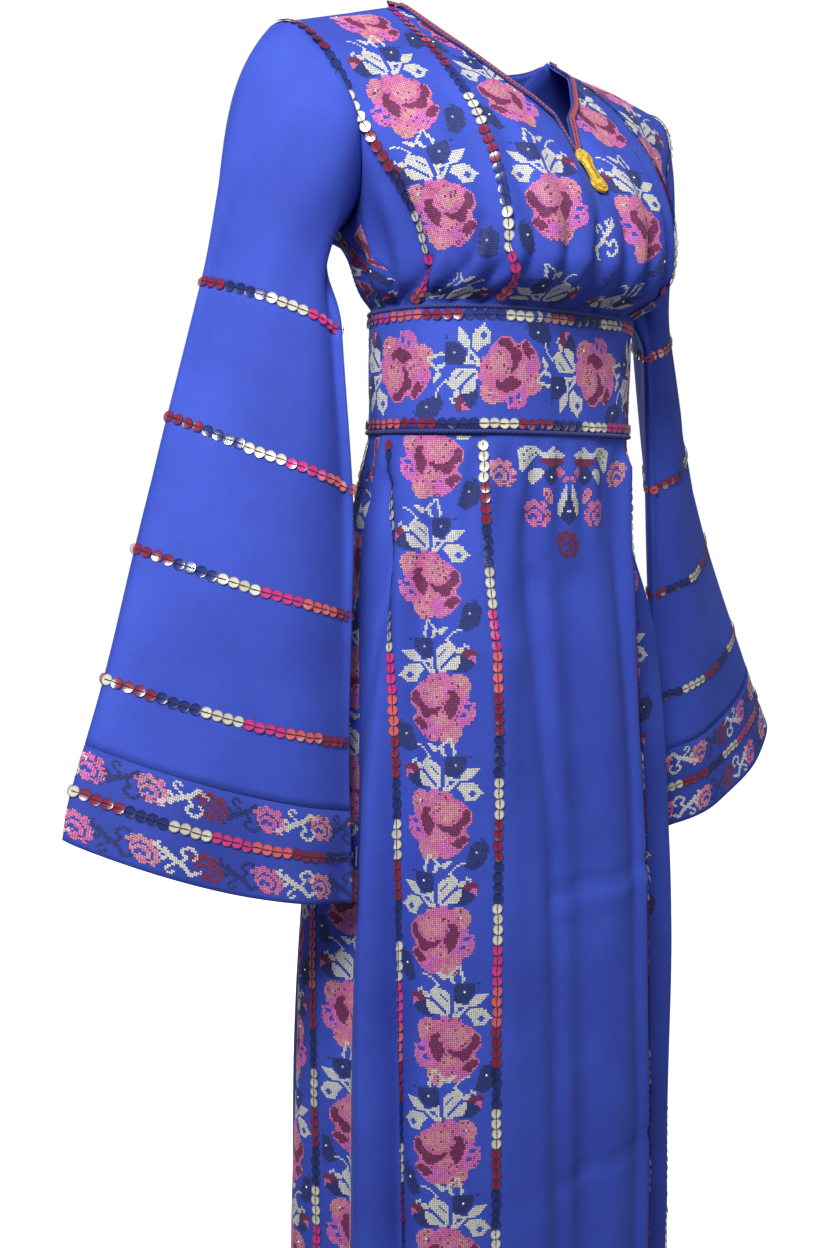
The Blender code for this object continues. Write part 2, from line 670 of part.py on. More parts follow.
def clasp(front, collection, finish):
    """The flat metal clasp of two round lobes that closes the foot of the slit."""
    middle_column = front.grid[:, CENTRE_COLUMNS]
    rise = middle_column[::-1, 2]
    heights = np.linspace(CLASP_TOP_Z - CLASP_LENGTH, CLASP_TOP_Z, 9)
    depth = np.interp(heights, rise, middle_column[::-1, 1])
    chord = np.linspace(depth[0], depth[-1], 9)
    bulge = max(0.0, float((chord - depth).max()))
    slope = math.atan2(heights[-1] - heights[0], depth[-1] - depth[0])
    reach = CLASP_LENGTH / 2 - CLASP_LOBE
    half = []
    for turn in np.linspace(0, math.radians(140), 8):
        half.append((CLASP_LOBE * math.sin(turn), reach + CLASP_LOBE * math.cos(turn)))
    half.append((CLASP_WAIST, 0.0))
    half += [(x, -y) for x, y in half[-2::-1]]
    outline = half + [(-x, y) for x, y in half[-2:0:-1]]
    curve = bpy.data.curves.new("clasp", "CURVE")
    curve.dimensions = "2D"
    curve.fill_mode = "BOTH"
    curve.extrude = CLASP_THICK / 2
    curve.materials.append(finish)
    spline = curve.splines.new("POLY")
    spline.points.add(len(outline) - 1)
    for point, (x, y) in zip(spline.points, outline):
        point.co = (x, y, 0.0, 1.0)
    spline.use_cyclic_u = True
    made = bpy.data.objects.new("clasp", curve)
    clear = LAID_ON + TRIM_WALL + CLASP_REST + CLASP_THICK / 2 + bulge
    middle = np.array((0.0, (depth[0] + depth[-1]) / 2, (heights[0] + heights[-1]) / 2))
    out = np.array((0.0, -math.sin(slope), math.cos(slope)))
    made.location = middle + out * clear
    made.rotation_euler = (slope, 0.0, 0.0)
    collection.objects.link(made)
    return made


def clear_scene():
    """Removes every object of the scene."""
    for old in list(bpy.data.objects):
        bpy.data.objects.remove(old, do_unlink=True)


def main():
    """Builds the whole dress."""
    clear_scene()
    collection = bpy.data.collections.new(COLLECTION)
    bpy.context.scene.collection.children.link(collection)
    panels = cloth_panels()
    by_name = {panel.name: panel for panel in panels}
    for panel in panels:
        finish = material(panel.name + "_cloth", BLUE, 0.8)
        panel.pull_back()
        inner = panel.grid + panel.inward * CLOTH_WALL
        add_wall(panel.name, panel.grid, inner, panel.tube, finish, collection)
    front, back = by_name["front_centre"], by_name["back"]
    neck_trim(front, back, collection, material("neck_trim_thread", CORAL, 0.7))
    belt(collection, material("belt_cloth", BLUE, 0.8), material("belt_cord", DARK_BLUE, 0.7))
    clasp(front, collection, material("clasp_gold", GOLD, 0.3, 1.0))


if __name__ == "__main__":
    main()
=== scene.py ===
"""A belted Palestinian thobe: its cloth, cross-stitch, sequins, belt, neck edging and clasp.

Metres, +Z up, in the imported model's frame: the dress faces -Y and the wearer's left is +X.
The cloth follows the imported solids' own sizes, and the embroidery is laid on the cloth.
"""

import logging
import math
from dataclasses import dataclass, field
from enum import Enum
from typing import Any, Iterable, Optional, Sequence, Union

import bpy
import numpy as np
from mathutils import Matrix, Vector


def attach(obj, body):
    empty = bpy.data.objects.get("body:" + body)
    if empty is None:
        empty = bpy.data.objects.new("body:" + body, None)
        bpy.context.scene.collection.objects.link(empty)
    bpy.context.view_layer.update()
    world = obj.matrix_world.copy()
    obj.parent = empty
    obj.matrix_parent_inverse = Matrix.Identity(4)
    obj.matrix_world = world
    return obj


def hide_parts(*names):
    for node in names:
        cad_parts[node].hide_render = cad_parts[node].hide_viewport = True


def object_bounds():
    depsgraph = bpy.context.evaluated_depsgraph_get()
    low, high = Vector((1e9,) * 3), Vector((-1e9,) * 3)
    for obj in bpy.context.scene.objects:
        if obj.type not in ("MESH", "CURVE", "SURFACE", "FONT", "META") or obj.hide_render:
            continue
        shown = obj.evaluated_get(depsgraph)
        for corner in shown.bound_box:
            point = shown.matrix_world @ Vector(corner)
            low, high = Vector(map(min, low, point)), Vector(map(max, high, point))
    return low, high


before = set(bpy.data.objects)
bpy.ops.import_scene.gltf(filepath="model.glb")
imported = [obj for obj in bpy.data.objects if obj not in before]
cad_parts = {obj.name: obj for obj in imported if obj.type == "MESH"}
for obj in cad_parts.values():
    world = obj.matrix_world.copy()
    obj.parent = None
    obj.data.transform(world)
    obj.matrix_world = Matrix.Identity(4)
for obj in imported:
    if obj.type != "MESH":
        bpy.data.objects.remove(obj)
CAD_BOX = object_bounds()
LOG = logging.getLogger("thobe")
BODY = "root"

# Cloth walls and the gaps between sewn pieces
CLOTH_WALL = 0.0012
BELT_WALL = 0.0024
BELT_REST = 0.0004
SEAM_GAP = 0.0004
SEAM_LAP = 0.0016
LEVEL_STEP = 0.01
PIPING_RADIUS = 0.0022

# Heights, down from the shoulder line
YOKE_Z = -0.290
BELT_TOP_Z = -0.337
BELT_BOTTOM_Z = -0.467
HEM_Z = -1.490

# The body below the arms: half width, depth in front of and behind the section's middle,
# where that middle lies, and how square the section is
BODY_COLUMNS = ("z", "half_width", "front", "back", "middle", "square")
BODY_ROWS = (
    (-0.240, 0.196, 0.158, 0.112, -0.010, 2.3),
    (YOKE_Z, 0.184, 0.170, 0.106, -0.012, 2.3),
    (-0.315, 0.174, 0.154, 0.106, -0.014, 2.3),
    (BELT_TOP_Z, 0.156, 0.110, 0.108, -0.017, 2.4),
    (-0.405, 0.155, 0.107, 0.108, -0.017, 2.4),
    (BELT_BOTTOM_Z, 0.157, 0.109, 0.110, -0.017, 2.4),
    (-0.560, 0.176, 0.116, 0.126, -0.012, 2.4),
    (-0.690, 0.198, 0.134, 0.146, -0.008, 2.4),
    (-0.880, 0.216, 0.152, 0.166, -0.004, 2.4),
    (-1.120, 0.228, 0.166, 0.178, 0.000, 2.4),
    (HEM_Z, 0.236, 0.176, 0.186, 0.000, 2.4),
)

# Where the panels meet, in metres round the body from the centre front
SEAM_COLUMNS = ("z", "strip_in", "strip_out", "gore_out", "side_out")
SEAM_ROWS = (
    (YOKE_Z, 0.126, 0.212, 0.278, 0.345),
    (BELT_TOP_Z, 0.102, 0.195, 0.222, 0.274),
    (BELT_BOTTOM_Z, 0.112, 0.222, 0.238, 0.300),
    (-0.690, 0.111, 0.224, 0.262, 0.355),
    (-1.000, 0.121, 0.233, 0.282, 0.385),
    (HEM_Z, 0.127, 0.226, 0.274, 0.392),
)

# Lengthwise skirt folds: share of the half body (negative on the wearer's right), depth
# outward, half width as a share, and the height where it is full grown
FOLDS = (
    (-0.920, -0.011, 0.050, -0.80),
    (-0.790, 0.012, 0.060, -0.70),
    (-0.660, -0.012, 0.050, -0.80),
    (-0.540, 0.010, 0.055, -0.75),
    (-0.448, -0.011, 0.022, -0.66),
    (-0.405, 0.009, 0.028, -0.70),
    (-0.350, -0.015, 0.032, -0.64),
    (-0.130, -0.007, 0.040, -0.75),
    (-0.050, 0.005, 0.050, -0.90),
    (0.060, 0.003, 0.050, -0.80),
    (0.155, -0.006, 0.028, -0.53),
    (0.275, -0.012, 0.040, -0.60),
    (0.345, 0.013, 0.060, -0.70),
    (0.430, -0.013, 0.035, -0.75),
    (0.540, 0.010, 0.055, -0.75),
    (0.660, -0.012, 0.050, -0.80),
    (0.790, 0.012, 0.060, -0.70),
    (0.920, -0.011, 0.050, -0.80),
)
GATHERS_ROUND = 26
GATHER_DEPTH = 0.0045

# The neckline from the foot of the centre slit to the neck point: share, x, y, z
NECKLINE = np.array((
    (0.00, 0.0000, -0.121, -0.174),
    (0.25, 0.0110, -0.098, -0.133),
    (0.37, 0.0320, -0.084, -0.114),
    (0.62, 0.0820, -0.030, -0.062),
    (0.875, 0.1100, 0.030, -0.015),
    (1.00, 0.1280, 0.030, -0.0206),
))
NECK_POINT = np.array((0.110, 0.030, -0.015))
STRIP_POINT = np.array((0.128, 0.030, -0.0206))
SHOULDER_POINT = np.array((0.270, 0.030, -0.065))
BACK_NECK = np.array((0.0, 0.085, -0.045))
LEFT_DROP = 0.016
LEFT_DROP_REACH = 0.065
BACK_SHARES = (0.0, 0.42, 0.72, 1.0)

# The armhole: a loop through the shoulder point, its front, the underarm and its back
ARMHOLE_TOP = SHOULDER_POINT
ARMHOLE_LOW = np.array((0.196, 0.030, -0.258))
ARMHOLE_FRONT = 0.078
ARMHOLE_BACK = 0.070
STRIP_TURN = math.radians(84)
GORE_TURN = math.radians(146)
SIDE_TURN = math.radians(212)

# The sleeve's rings: outer edge, inner edge, half thickness and sag, one row a ring; its
# scale is the metres for a turn and for a ring
SLEEVE_RINGS = np.array((
    (0.343, 0.058, -0.321, 0.233, -0.032, -0.366, 0.022, 0.000),
    (0.384, 0.054, -0.455, 0.230, -0.047, -0.524, 0.025, 0.004),
    (0.428, 0.041, -0.583, 0.232, -0.050, -0.652, 0.027, 0.006),
    (0.474, 0.022, -0.702, 0.236, -0.054, -0.780, 0.029, 0.008),
    (0.516, 0.008, -0.802, 0.238, -0.058, -0.898, 0.031, 0.011),
    (0.532, -0.002, -0.844, 0.239, -0.060, -0.944, 0.032, 0.014),
))
CUFF_TOP = 3.55
HEM_RING = 5.0
SLEEVE_COLUMNS = 88
SLEEVE_SCALE = (0.09, 0.13)

# The camera stands where the photograph was taken from, at the wearer's right
PHOTO_WIDTH = 832
FOCAL_PIXELS = 1406.0
CAMERA_DOWN = math.radians(5.89)
CAMERA_TURN = math.radians(40.55)
CAMERA_ROLL = math.radians(0.55)
CAMERA_BACK = 1.6
CAMERA_LEFT = 0.082
CAMERA_HEIGHT = -0.514
SENSOR_WIDTH = 36.0

# Cross-stitch and sequins
STITCH = 0.0021
STITCH_WIDTH = 0.00205
STITCH_LOW = 0.00025
STITCH_HIGH = 0.00075
STITCH_HALF = 0.47
# Painted light on each stitch: its colour times 0.52 at its four low corners is painted shade between
# stitches, and times 1.60 at its crown is a painted highlight
STITCH_PAINTED_LIGHT = (0.52, 0.52, 0.52, 0.52, 1.60)
MIXED_SHARE = 0.30
MIXED_THREADS = {"P": 0.34, "M": 0.30, "C": 0.24, "D": 0.12}
BAND_REPEAT = 57
SEQUIN_RADIUS = 0.0057
SEQUIN_PITCH = 0.0108

Array = np.ndarray
Finish = bpy.types.Material
Stone = tuple[np.ndarray, np.ndarray, np.ndarray]
Colour = tuple[float, float, float, float]
WHITE: Colour = (1.0, 1.0, 1.0, 1.0)
SKY_COLOUR: Colour = (0.93, 0.95, 1.0, 1.0)


def screen(red: int, green: int, blue: int) -> Colour:
    """A screen colour of 0 to 255 as the light it stands for."""
    return (*(((c / 255 + 0.055) / 1.055) ** 2.4 for c in (red, green, blue)), 1.0)


class Thread(Enum):
    """The embroidery threads, by their letter in the charts."""

    ROSE = "P"
    MAGENTA = "M"
    CORAL = "C"
    MAROON = "D"
    NAVY = "N"
    IVORY = "I"

    @property
    def colour(self) -> Colour:
        """The thread's colour."""
        return THREAD_COLOURS[self.value]


THREAD_COLOURS = {
    "P": screen(250, 116, 168),
    "M": screen(242, 112, 200),
    "C": screen(252, 150, 158),
    "D": screen(126, 40, 84),
    "N": screen(34, 50, 122),
    "I": screen(255, 249, 226),
}

# Charts, one letter a stitch. A rose, seen with its looped petal on the left
ROSE = (
    "..............MMMM.................",
    "......CCCCC..MMMMMPPPPP............",
    "....CCCCCCCPPMMMMMPPPPPPP..........",
    "...CCCCCCCCPPPPPPPPPPPPPP..........",
    "...CCCCCCCCPPPPPPPPPPPPPPP.........",
    "..CCCCCCCCPPPPPPPPPPPPPPPPPP.......",
    "..CCCCCXNPPPPPPPPCCCCCCCCPPPPP.....",
    "..CCCCCCCPPPPPPPCCCCCCCCCCCPPPP....",
    "..CCCCCCPPPPPPPPCCCCCCCCCCCCPPPP...",
    "...CCCCCPPDDDDPPCCCCCCCCCCCCCPPPP..",
    "...CCCCPPDDDDDPPCCCCCCCCCCCCCPPDDP.",
    "...MMMMPPDDDDPPPCCCCCCCCCCCCPPDDDDP",
    "...MMMMPPDDDDPPPPCCCCCCCCCCCPPDDDDP",
    "....MMMPDDDDDDPPPCCCCCCCCCCPPPDDDDP",
    "...MMMMMDDDDDDDPPPCCCCCCCCPPPDDDDDP",
    "MMMMMMMMDDDDDDDPPPPCCCCCPPPPDDDDDDP",
    "MM....MMMDDDDDDDPPPPPPPPPPPDDDDDDPP",
    ".MM...MMMDDDDDDDPDDDPPPPPDDDDDDDPP.",
    "MMMMMMMMMDDDDDDDPPDDDDDDDDDDDDPPP..",
    "MMMMMMMMMMDDDDDPPPPDDDDDDDDDDDPP...",
    "MMMMM..MMMDDDDDPCCCPDDDDDDDDDPPP...",
    "MMMMM...MMMDDDPCCCCCCPPDDDDDDPPP...",
    ".MMMMMMMMMMPDDPCCCCCCCPPDDDDPPPPP..",
    ".MMMMMMMMMMPPPCCCCCCCCPPPPPPPDDDPP.",
    "..MMMMMMMMPPPPCCCCCCCPPPPPPDDDDDDP.",
    "...MMMMMMPPPPPCCCCCMMMMMMPDDDDDDD..",
    "......PCCCCCPPPPPMMMMMMMPDDDDDDDP..",
    ".......CCCCCCPPPPPMMMMMMPDDDDDPP...",
    ".......CCCCCCCPPPPPMMMMMMMPDDDP....",
    ".......CCCCCCCCCPPPPMMMMMMMMPP.....",
    ".......CCCCCCCCCCPPPMMMMMMMMM......",
    "........CCCCCCCCCCPPPMMMMMMM.......",
    ".........CCCCCCCCCPPPPPPPP.........",
    ".........CCCCCCCCC..PPPP...........",
    "..........CCCCC....................",
)

# What grows between two roses: ivory leaves and stems, a navy leaf and a maroon bud
SPRIG = (
    "................III.........................",
    "................I.I.........................",
    "................I..II.......................",
    "...............II...II....III...............",
    "...............II....II.IIII.....III........",
    "...............I....IIIIIII....II...........",
    "..............II....II..II....I.............",
    "..............II....II.......I..............",
    "...............I...II.......I...............",
    "......NN.NNNNNNNNNN........II...............",
    ".........NNNNNNNNNNN........II..............",
    ".........NNNNNNNNNNN......IIIII.....I.......",
    ".........NNNNNNNNNNN....IIIIIIII....III.....",
    ".........NNNNNXNNNNN...IIIIIIIII.III..I.....",
    "..........NNNNNNNNNN..IIII.IIIIIIIIIDDDDDD..",
    "..IIIIIII.NNNNNNNNNN..III.IIIII.IIIDDDDDDDD.",
    "...IIIIIII.NNNNNNNNN..II.IIIII....DDDDDDDDD.",
    "....IIIIIII.NNNNNNNN..I.IIIII...IINNDDDPPP..",
    ".....IIIIIII.NNNNNNI..IIIIII..IIIINNNNPPPP..",
    "......IIIIII....IIII..IIIII..IIIIINNNNNNPP..",
    "........IIIIIIIIIIII..IIII..IIIIIINNNNNNNP..",
    ".............II...II..III..IIIIIINNNNNNNN...",
    ".....IIIIIII..II..II..II..IIIIIIINNNNNNN....",
    "...IIIIIIIIII..III.I..II.IIIIIIINNNNNNN.....",
    "...IIIIIIIIIII..IIIII..IIII...NNNNNNN.......",
    "..IIIIIIIIIII....IIII.......................",
    ".IIII..IIIII................................",
    "IIII....III.................................",
    "..III..IIII.................................",
    "...IIIIIII..................................",
    "....IIIIII..................................",
)

# The single navy leaf beside a rose
NAVY_LEAF = (
    "........N....",
    ".........NN..",
    ".....NNNNNN..",
    "....NNNNNNNN.",
    "...NNNNNNNNNN",
    "...NNNNNNNNNN",
    "...NNNNNNNNNN",
    "..NNNNXNNNNNN",
    "..NNNNNNNNNN.",
    "..NNNNNNNNNN.",
    ".NNNNNNNNNNN.",
    ".NNNNNNNNNN..",
    ".NNNNNNNNNN..",
    "NNNNNNNNNN...",
    ".NNNNNNN.....",
    "...NNN.......",
)

# Small flower of the cuffs and the skirt front; F takes the flower's own colour
FLOWER = (
    "....FF.......",
    ".FFFFFF.FF...",
    ".FFFFFFFFFF..",
    "FFFFF.FFFFF..",
    "FFFF...FFF...",
    ".FF.FFF.FFFF.",
    ".F.FFFFF.FFFF",
    ".FFF..FFF.FFF",
    ".FF....FF.FF.",
    "..F..F.FF.FFF",
    "..FFFFFFF.FFF",
    "...FFFF..FFF.",
    "....FFFFFFF..",
    ".....FF..FF..",
)

# Scrolled vine of the cuffs; F takes the vine's own colour
VINE = (
    ".......FFF..............",
    "......F..FF......FFF....",
    "......FF........FFFFFF..",
    ".......FF......FFF..FFFF",
    ".........FF..FFFF......F",
    "....FF....FFFFFF........",
    "....FFF.FFFFFFF.........",
    "...F..FFFFFF..FF........",
    "....FFFFFF.....FF..FF...",
    "..FFFFFF......FFF...FF..",
    "FFFF.FF......FF......F..",
    "FFF..........FF.....FF..",
    "..FF..........FFF.FFF...",
    "................FFFF....",
)

# Right halves of the motif under the belt, from the centre line outward
CROWN_HALF = (
    "........II.......IIIIIII...",
    "........III.....IIIINIIIII.",
    ".....III.III...IIIIIIINIIII",
    "...IIIIIIIIIIIIIINIIIIIIIII",
    "..IIIIIIIIIIIIII.IINIIIINII",
    "...IIII.IIIIIII...IIINIIIII",
    "...DDDDDDDDDDDD....IIIIIIII",
    "..DDDDDDDDDDDDDD....IIIINII",
    "...DDDDDDDDDDDD......IIIIII",
    ".....DDDDDDDD.........IIIII",
    "....PP..NNNN...........IIII",
    "...PPPPNNNNNN..IIII.....III",
    "..PPCPPNNNNNNNIIIIIII....I.",
    "..PPPPPNNNNNNNIIIIIIII.....",
    "...PPP.NNNNNNN.IIIIIII.....",
    "PP..P..NNNXNNN.IIIIIII.....",
    "PPP.....NNNNN...IIIIII.....",
    ".PP.....NNNNN....IIII......",
    ".........NNN......II.......",
)
DROP_HALF = (
    ".I....", ".I....", ".II...", ".II...", ".III..", "NIII..", "NIII..", "NIIII.",
    "NNIII.", "NNIIII", "NNIIII", "NNNIII", "NNNIII", "XNNIII", "NNNNII", "NNNNI.",
    "NNNN..", "NNN...", "NN....", "N.....",
)
BUD = ("..FFF", ".FFFF", ".FFFF", "FFFFF", "FFFF.", "FFFF.", "FFF..", "FF...")


def unit(vectors: Array) -> Array:
    """The vectors at length one, along the last axis."""
    return vectors / np.maximum(np.linalg.norm(vectors, axis=-1, keepdims=True), 1e-12)


def ramp(start: float, full: float, at: Any) -> Any:
    """0 before start and 1 past full, with an easy rise between."""
    t = np.clip((at - start) / (full - start), 0.0, 1.0)
    return t * t * (3 - 2 * t)


def bent_line(
    start: Array, leave: Array, arrive: Array, end: Array, shares: Array
) -> Array:
    """Points on a smooth curve that leaves and arrives along the given directions.

    Args:
        start: The first point.
        leave: The direction at the first point.
        arrive: The direction at the last point.
        end: The last point.
        shares: Where along the curve the points lie, from 0 to 1.

    Returns:
        The points, one row each.
    """
    reach = 0.36 * np.linalg.norm(end - start)
    handles = (start, start + reach * unit(leave), end - reach * unit(arrive), end)
    t = shares[:, None]
    weights = ((1 - t) ** 3, 3 * t * (1 - t) ** 2, 3 * t * t * (1 - t), t ** 3)
    return sum(w * h for w, h in zip(weights, handles))


def filled_patch(
    top: Array, bottom: Array, first: Array, last: Array
) -> Array:
    """Rows of points that fill a four-sided patch.

    Args:
        top: Points along the first row.
        bottom: Points along the last row.
        first: Points down the first column.
        last: Points down the last column.

    Returns:
        The grid of points.
    """
    t = np.linspace(0, 1, len(first))[:, None, None]
    s = np.linspace(0, 1, len(top))[None, :, None]
    across = (1 - s) * first[:, None] + s * last[:, None]
    down = (1 - t) * top[None] + t * bottom[None]
    corners = (
        (1 - s) * (1 - t) * top[0] + s * (1 - t) * top[-1]
        + (1 - s) * t * bottom[0] + s * t * bottom[-1]
    )
    return across + down - corners


def squared(vectors: Array, to: Array) -> Array:
    """The vectors turned square to others, at length one."""
    return unit(vectors - to * np.sum(vectors * to, -1, keepdims=True))


def even_turns(count: int) -> Array:
    """Even turns once round, from nought."""
    return np.linspace(0, 2 * math.pi, count + 1)[:-1]


def read_line(at: Array, run: Array, values: Array) -> Array:
    """Reads three numbers along a line at the given lengths."""
    return np.stack([np.interp(at, run, values[:, k]) for k in range(3)], -1)


def along(points: Array) -> Array:
    """The length run at each point of a line."""
    steps = np.linalg.norm(np.diff(points, axis=0), axis=-1)
    return np.concatenate([[0.0], np.cumsum(steps)])


class HeightTable:
    """Named columns of numbers by height, read on smooth curves through the rows."""

    def __init__(self, columns: Sequence[str], rows: Sequence[Sequence[float]]) -> None:
        """Sets the curves up.

        Args:
            columns: The columns' names, the height first.
            rows: The rows, from the highest down.
        """
        table = np.array(rows, float)[::-1]
        self.heights = table[:, 0]
        self.values = {name: table[:, n] for n, name in enumerate(columns)}

    def at(self, name: str, z: float) -> float:
        """A column's value at a height.

        Args:
            name: The column.
            z: The height.

        Returns:
            The value.
        """
        heights, values = self.heights, self.values[name]
        rises = np.diff(values) / np.diff(heights)
        turning = rises[:-1] * rises[1:] <= 0
        between = 2 * rises[:-1] * rises[1:] / np.where(turning, 1.0, rises[:-1] + rises[1:])
        slopes = np.concatenate([rises[:1], np.where(turning, 0.0, between), rises[-1:]])
        z = float(np.clip(z, heights[0], heights[-1]))
        low = int(np.clip(np.searchsorted(heights, z) - 1, 0, len(heights) - 2))
        span = heights[low + 1] - heights[low]
        t = (z - heights[low]) / span
        rise = 3 * t * t - 2 * t ** 3
        return (
            values[low] * (1 - rise) + values[low + 1] * rise
            + span * (slopes[low] * t * (1 - t) ** 2 - slopes[low + 1] * t * t * (1 - t))
        )


BODY_TABLE = HeightTable(BODY_COLUMNS, BODY_ROWS)
SEAM_TABLE = HeightTable(SEAM_COLUMNS, SEAM_ROWS)


class BodySection:
    """One level section of the body, read by the distance round it from the centre front."""

    def __init__(self, z: float) -> None:
        """Draws the section at a height.

        Args:
            z: The height.
        """
        angle = np.linspace(0.0, math.pi, 721)
        power = 2.0 / BODY_TABLE.at("square", z)
        cosine = np.cos(angle)
        depth = np.where(cosine > 0, BODY_TABLE.at("front", z), BODY_TABLE.at("back", z))
        self.z = z
        self.x = BODY_TABLE.at("half_width", z) * np.sin(angle) ** power
        middle = BODY_TABLE.at("middle", z)
        self.y = middle - depth * np.sign(cosine) * np.abs(cosine) ** power
        self.round = np.concatenate(
            [[0.0], np.cumsum(np.hypot(np.diff(self.x), np.diff(self.y)))]
        )
        self.half_girth = float(self.round[-1])

    def plain(self, around: Array) -> Array:
        """The points that far round, before folds.

        Args:
            around: Distances from the centre front, negative on the wearer's right.

        Returns:
            The points.
        """
        x = np.interp(np.abs(around), self.round, self.x) * np.where(around < 0, -1.0, 1.0)
        y = np.interp(np.abs(around), self.round, self.y)
        return np.stack([x, y, np.full_like(x, self.z)], -1)

    def outward(self, around: Array) -> Array:
        """The level directions that face out of the cloth.

        Args:
            around: Distances from the centre front, negative on the wearer's right.

        Returns:
            A direction for each.
        """
        ahead = self.plain(around + 0.004) - self.plain(around - 0.004)
        level = np.stack([ahead[:, 1], -ahead[:, 0], np.zeros(len(ahead))], -1)
        return unit(level)

    def fold(self, around: Array) -> Array:
        """How far folds and gathers move the cloth outward.

        Args:
            around: Distances from the centre front, negative on the wearer's right.

        Returns:
            The move at each.
        """
        share = around / self.half_girth
        moved = np.zeros(len(share))
        for at, depth, half, full in FOLDS:
            grown = ramp(BELT_BOTTOM_Z, full, self.z)
            moved += grown * depth * np.exp(-(((share - at) / half) ** 2))
        loose = ramp(BELT_TOP_Z, BELT_TOP_Z + 0.018, self.z)
        below = ramp(BELT_BOTTOM_Z, BELT_BOTTOM_Z - 0.03, self.z) * (1 - ramp(-0.50, -0.64, self.z))
        wave = np.cos(share * math.pi * GATHERS_ROUND)
        return moved + GATHER_DEPTH * (loose + 0.5 * below) * wave

    def points(self, around: Array, clear: float = 0.0) -> Array:
        """The cloth's outer points that far round.

        Args:
            around: Distances from the centre front, negative on the wearer's right.
            clear: How far out of the cloth the points stand.

        Returns:
            The points.
        """
        limit = self.half_girth - 1e-6
        held = np.clip(around, -limit, limit)
        return self.plain(held) + self.outward(held) * (self.fold(held) + clear)[:, None]


def seam(name: str, section: BodySection) -> float:
    """The distance round to a named seam."""
    return SEAM_TABLE.at(name, section.z)


def level_ways(place: Array) -> Array:
    """The level directions that face out of the unfolded body.

    Args:
        place: Rows of places, each the distance round and the height.

    Returns:
        A direction for each place.
    """
    flat = place.reshape(-1, 2)
    levels = np.round(flat[:, 1] / LEVEL_STEP).astype(int)
    ways = np.zeros((len(flat), 3))
    for level in np.unique(levels):
        at = levels == level
        ways[at] = BodySection(level * LEVEL_STEP).outward(flat[at, 0])
    return ways.reshape(*place.shape[:2], 3)


def armhole(turns: Array) -> Array:
    """Points of the left armhole; the turn runs from the shoulder over the front.

    Args:
        turns: Where round the loop the points lie.

    Returns:
        The points.
    """
    low = ((1 - np.cos(turns)) / 2)[:, None]
    reach = np.where(np.sin(turns) > 0, ARMHOLE_FRONT, ARMHOLE_BACK)
    points = ARMHOLE_TOP + (ARMHOLE_LOW - ARMHOLE_TOP) * low
    points[:, 1] -= reach * np.sin(turns)
    return points


@dataclass(frozen=True)
class Crease:
    """A soft trough or ridge along a short line on the cloth.

    The line's points are (distance round, height) on the body, and (turn, ring) on a sleeve.
    """

    line: tuple[tuple[float, float], ...]
    depth: float
    width: float

    def height(self, place: Array, scale: tuple[float, float]) -> Array:
        """How far the crease moves the cloth outward.

        Args:
            place: The cloth's own places.
            scale: Metres for a unit of each place.

        Returns:
            The move at each place.
        """
        flat = place.reshape(-1, 2) * scale
        knots = np.array(self.line) * scale
        best = np.full(len(flat), 1e9)
        for a, b in zip(knots, knots[1:]):
            step = b - a
            t = np.clip(((flat - a) @ step) / max(step @ step, 1e-12), 0, 1)
            best = np.minimum(best, np.linalg.norm(flat - a - t[:, None] * step, axis=1))
        return (self.depth * np.exp(-((best / self.width) ** 2))).reshape(place.shape[:2])


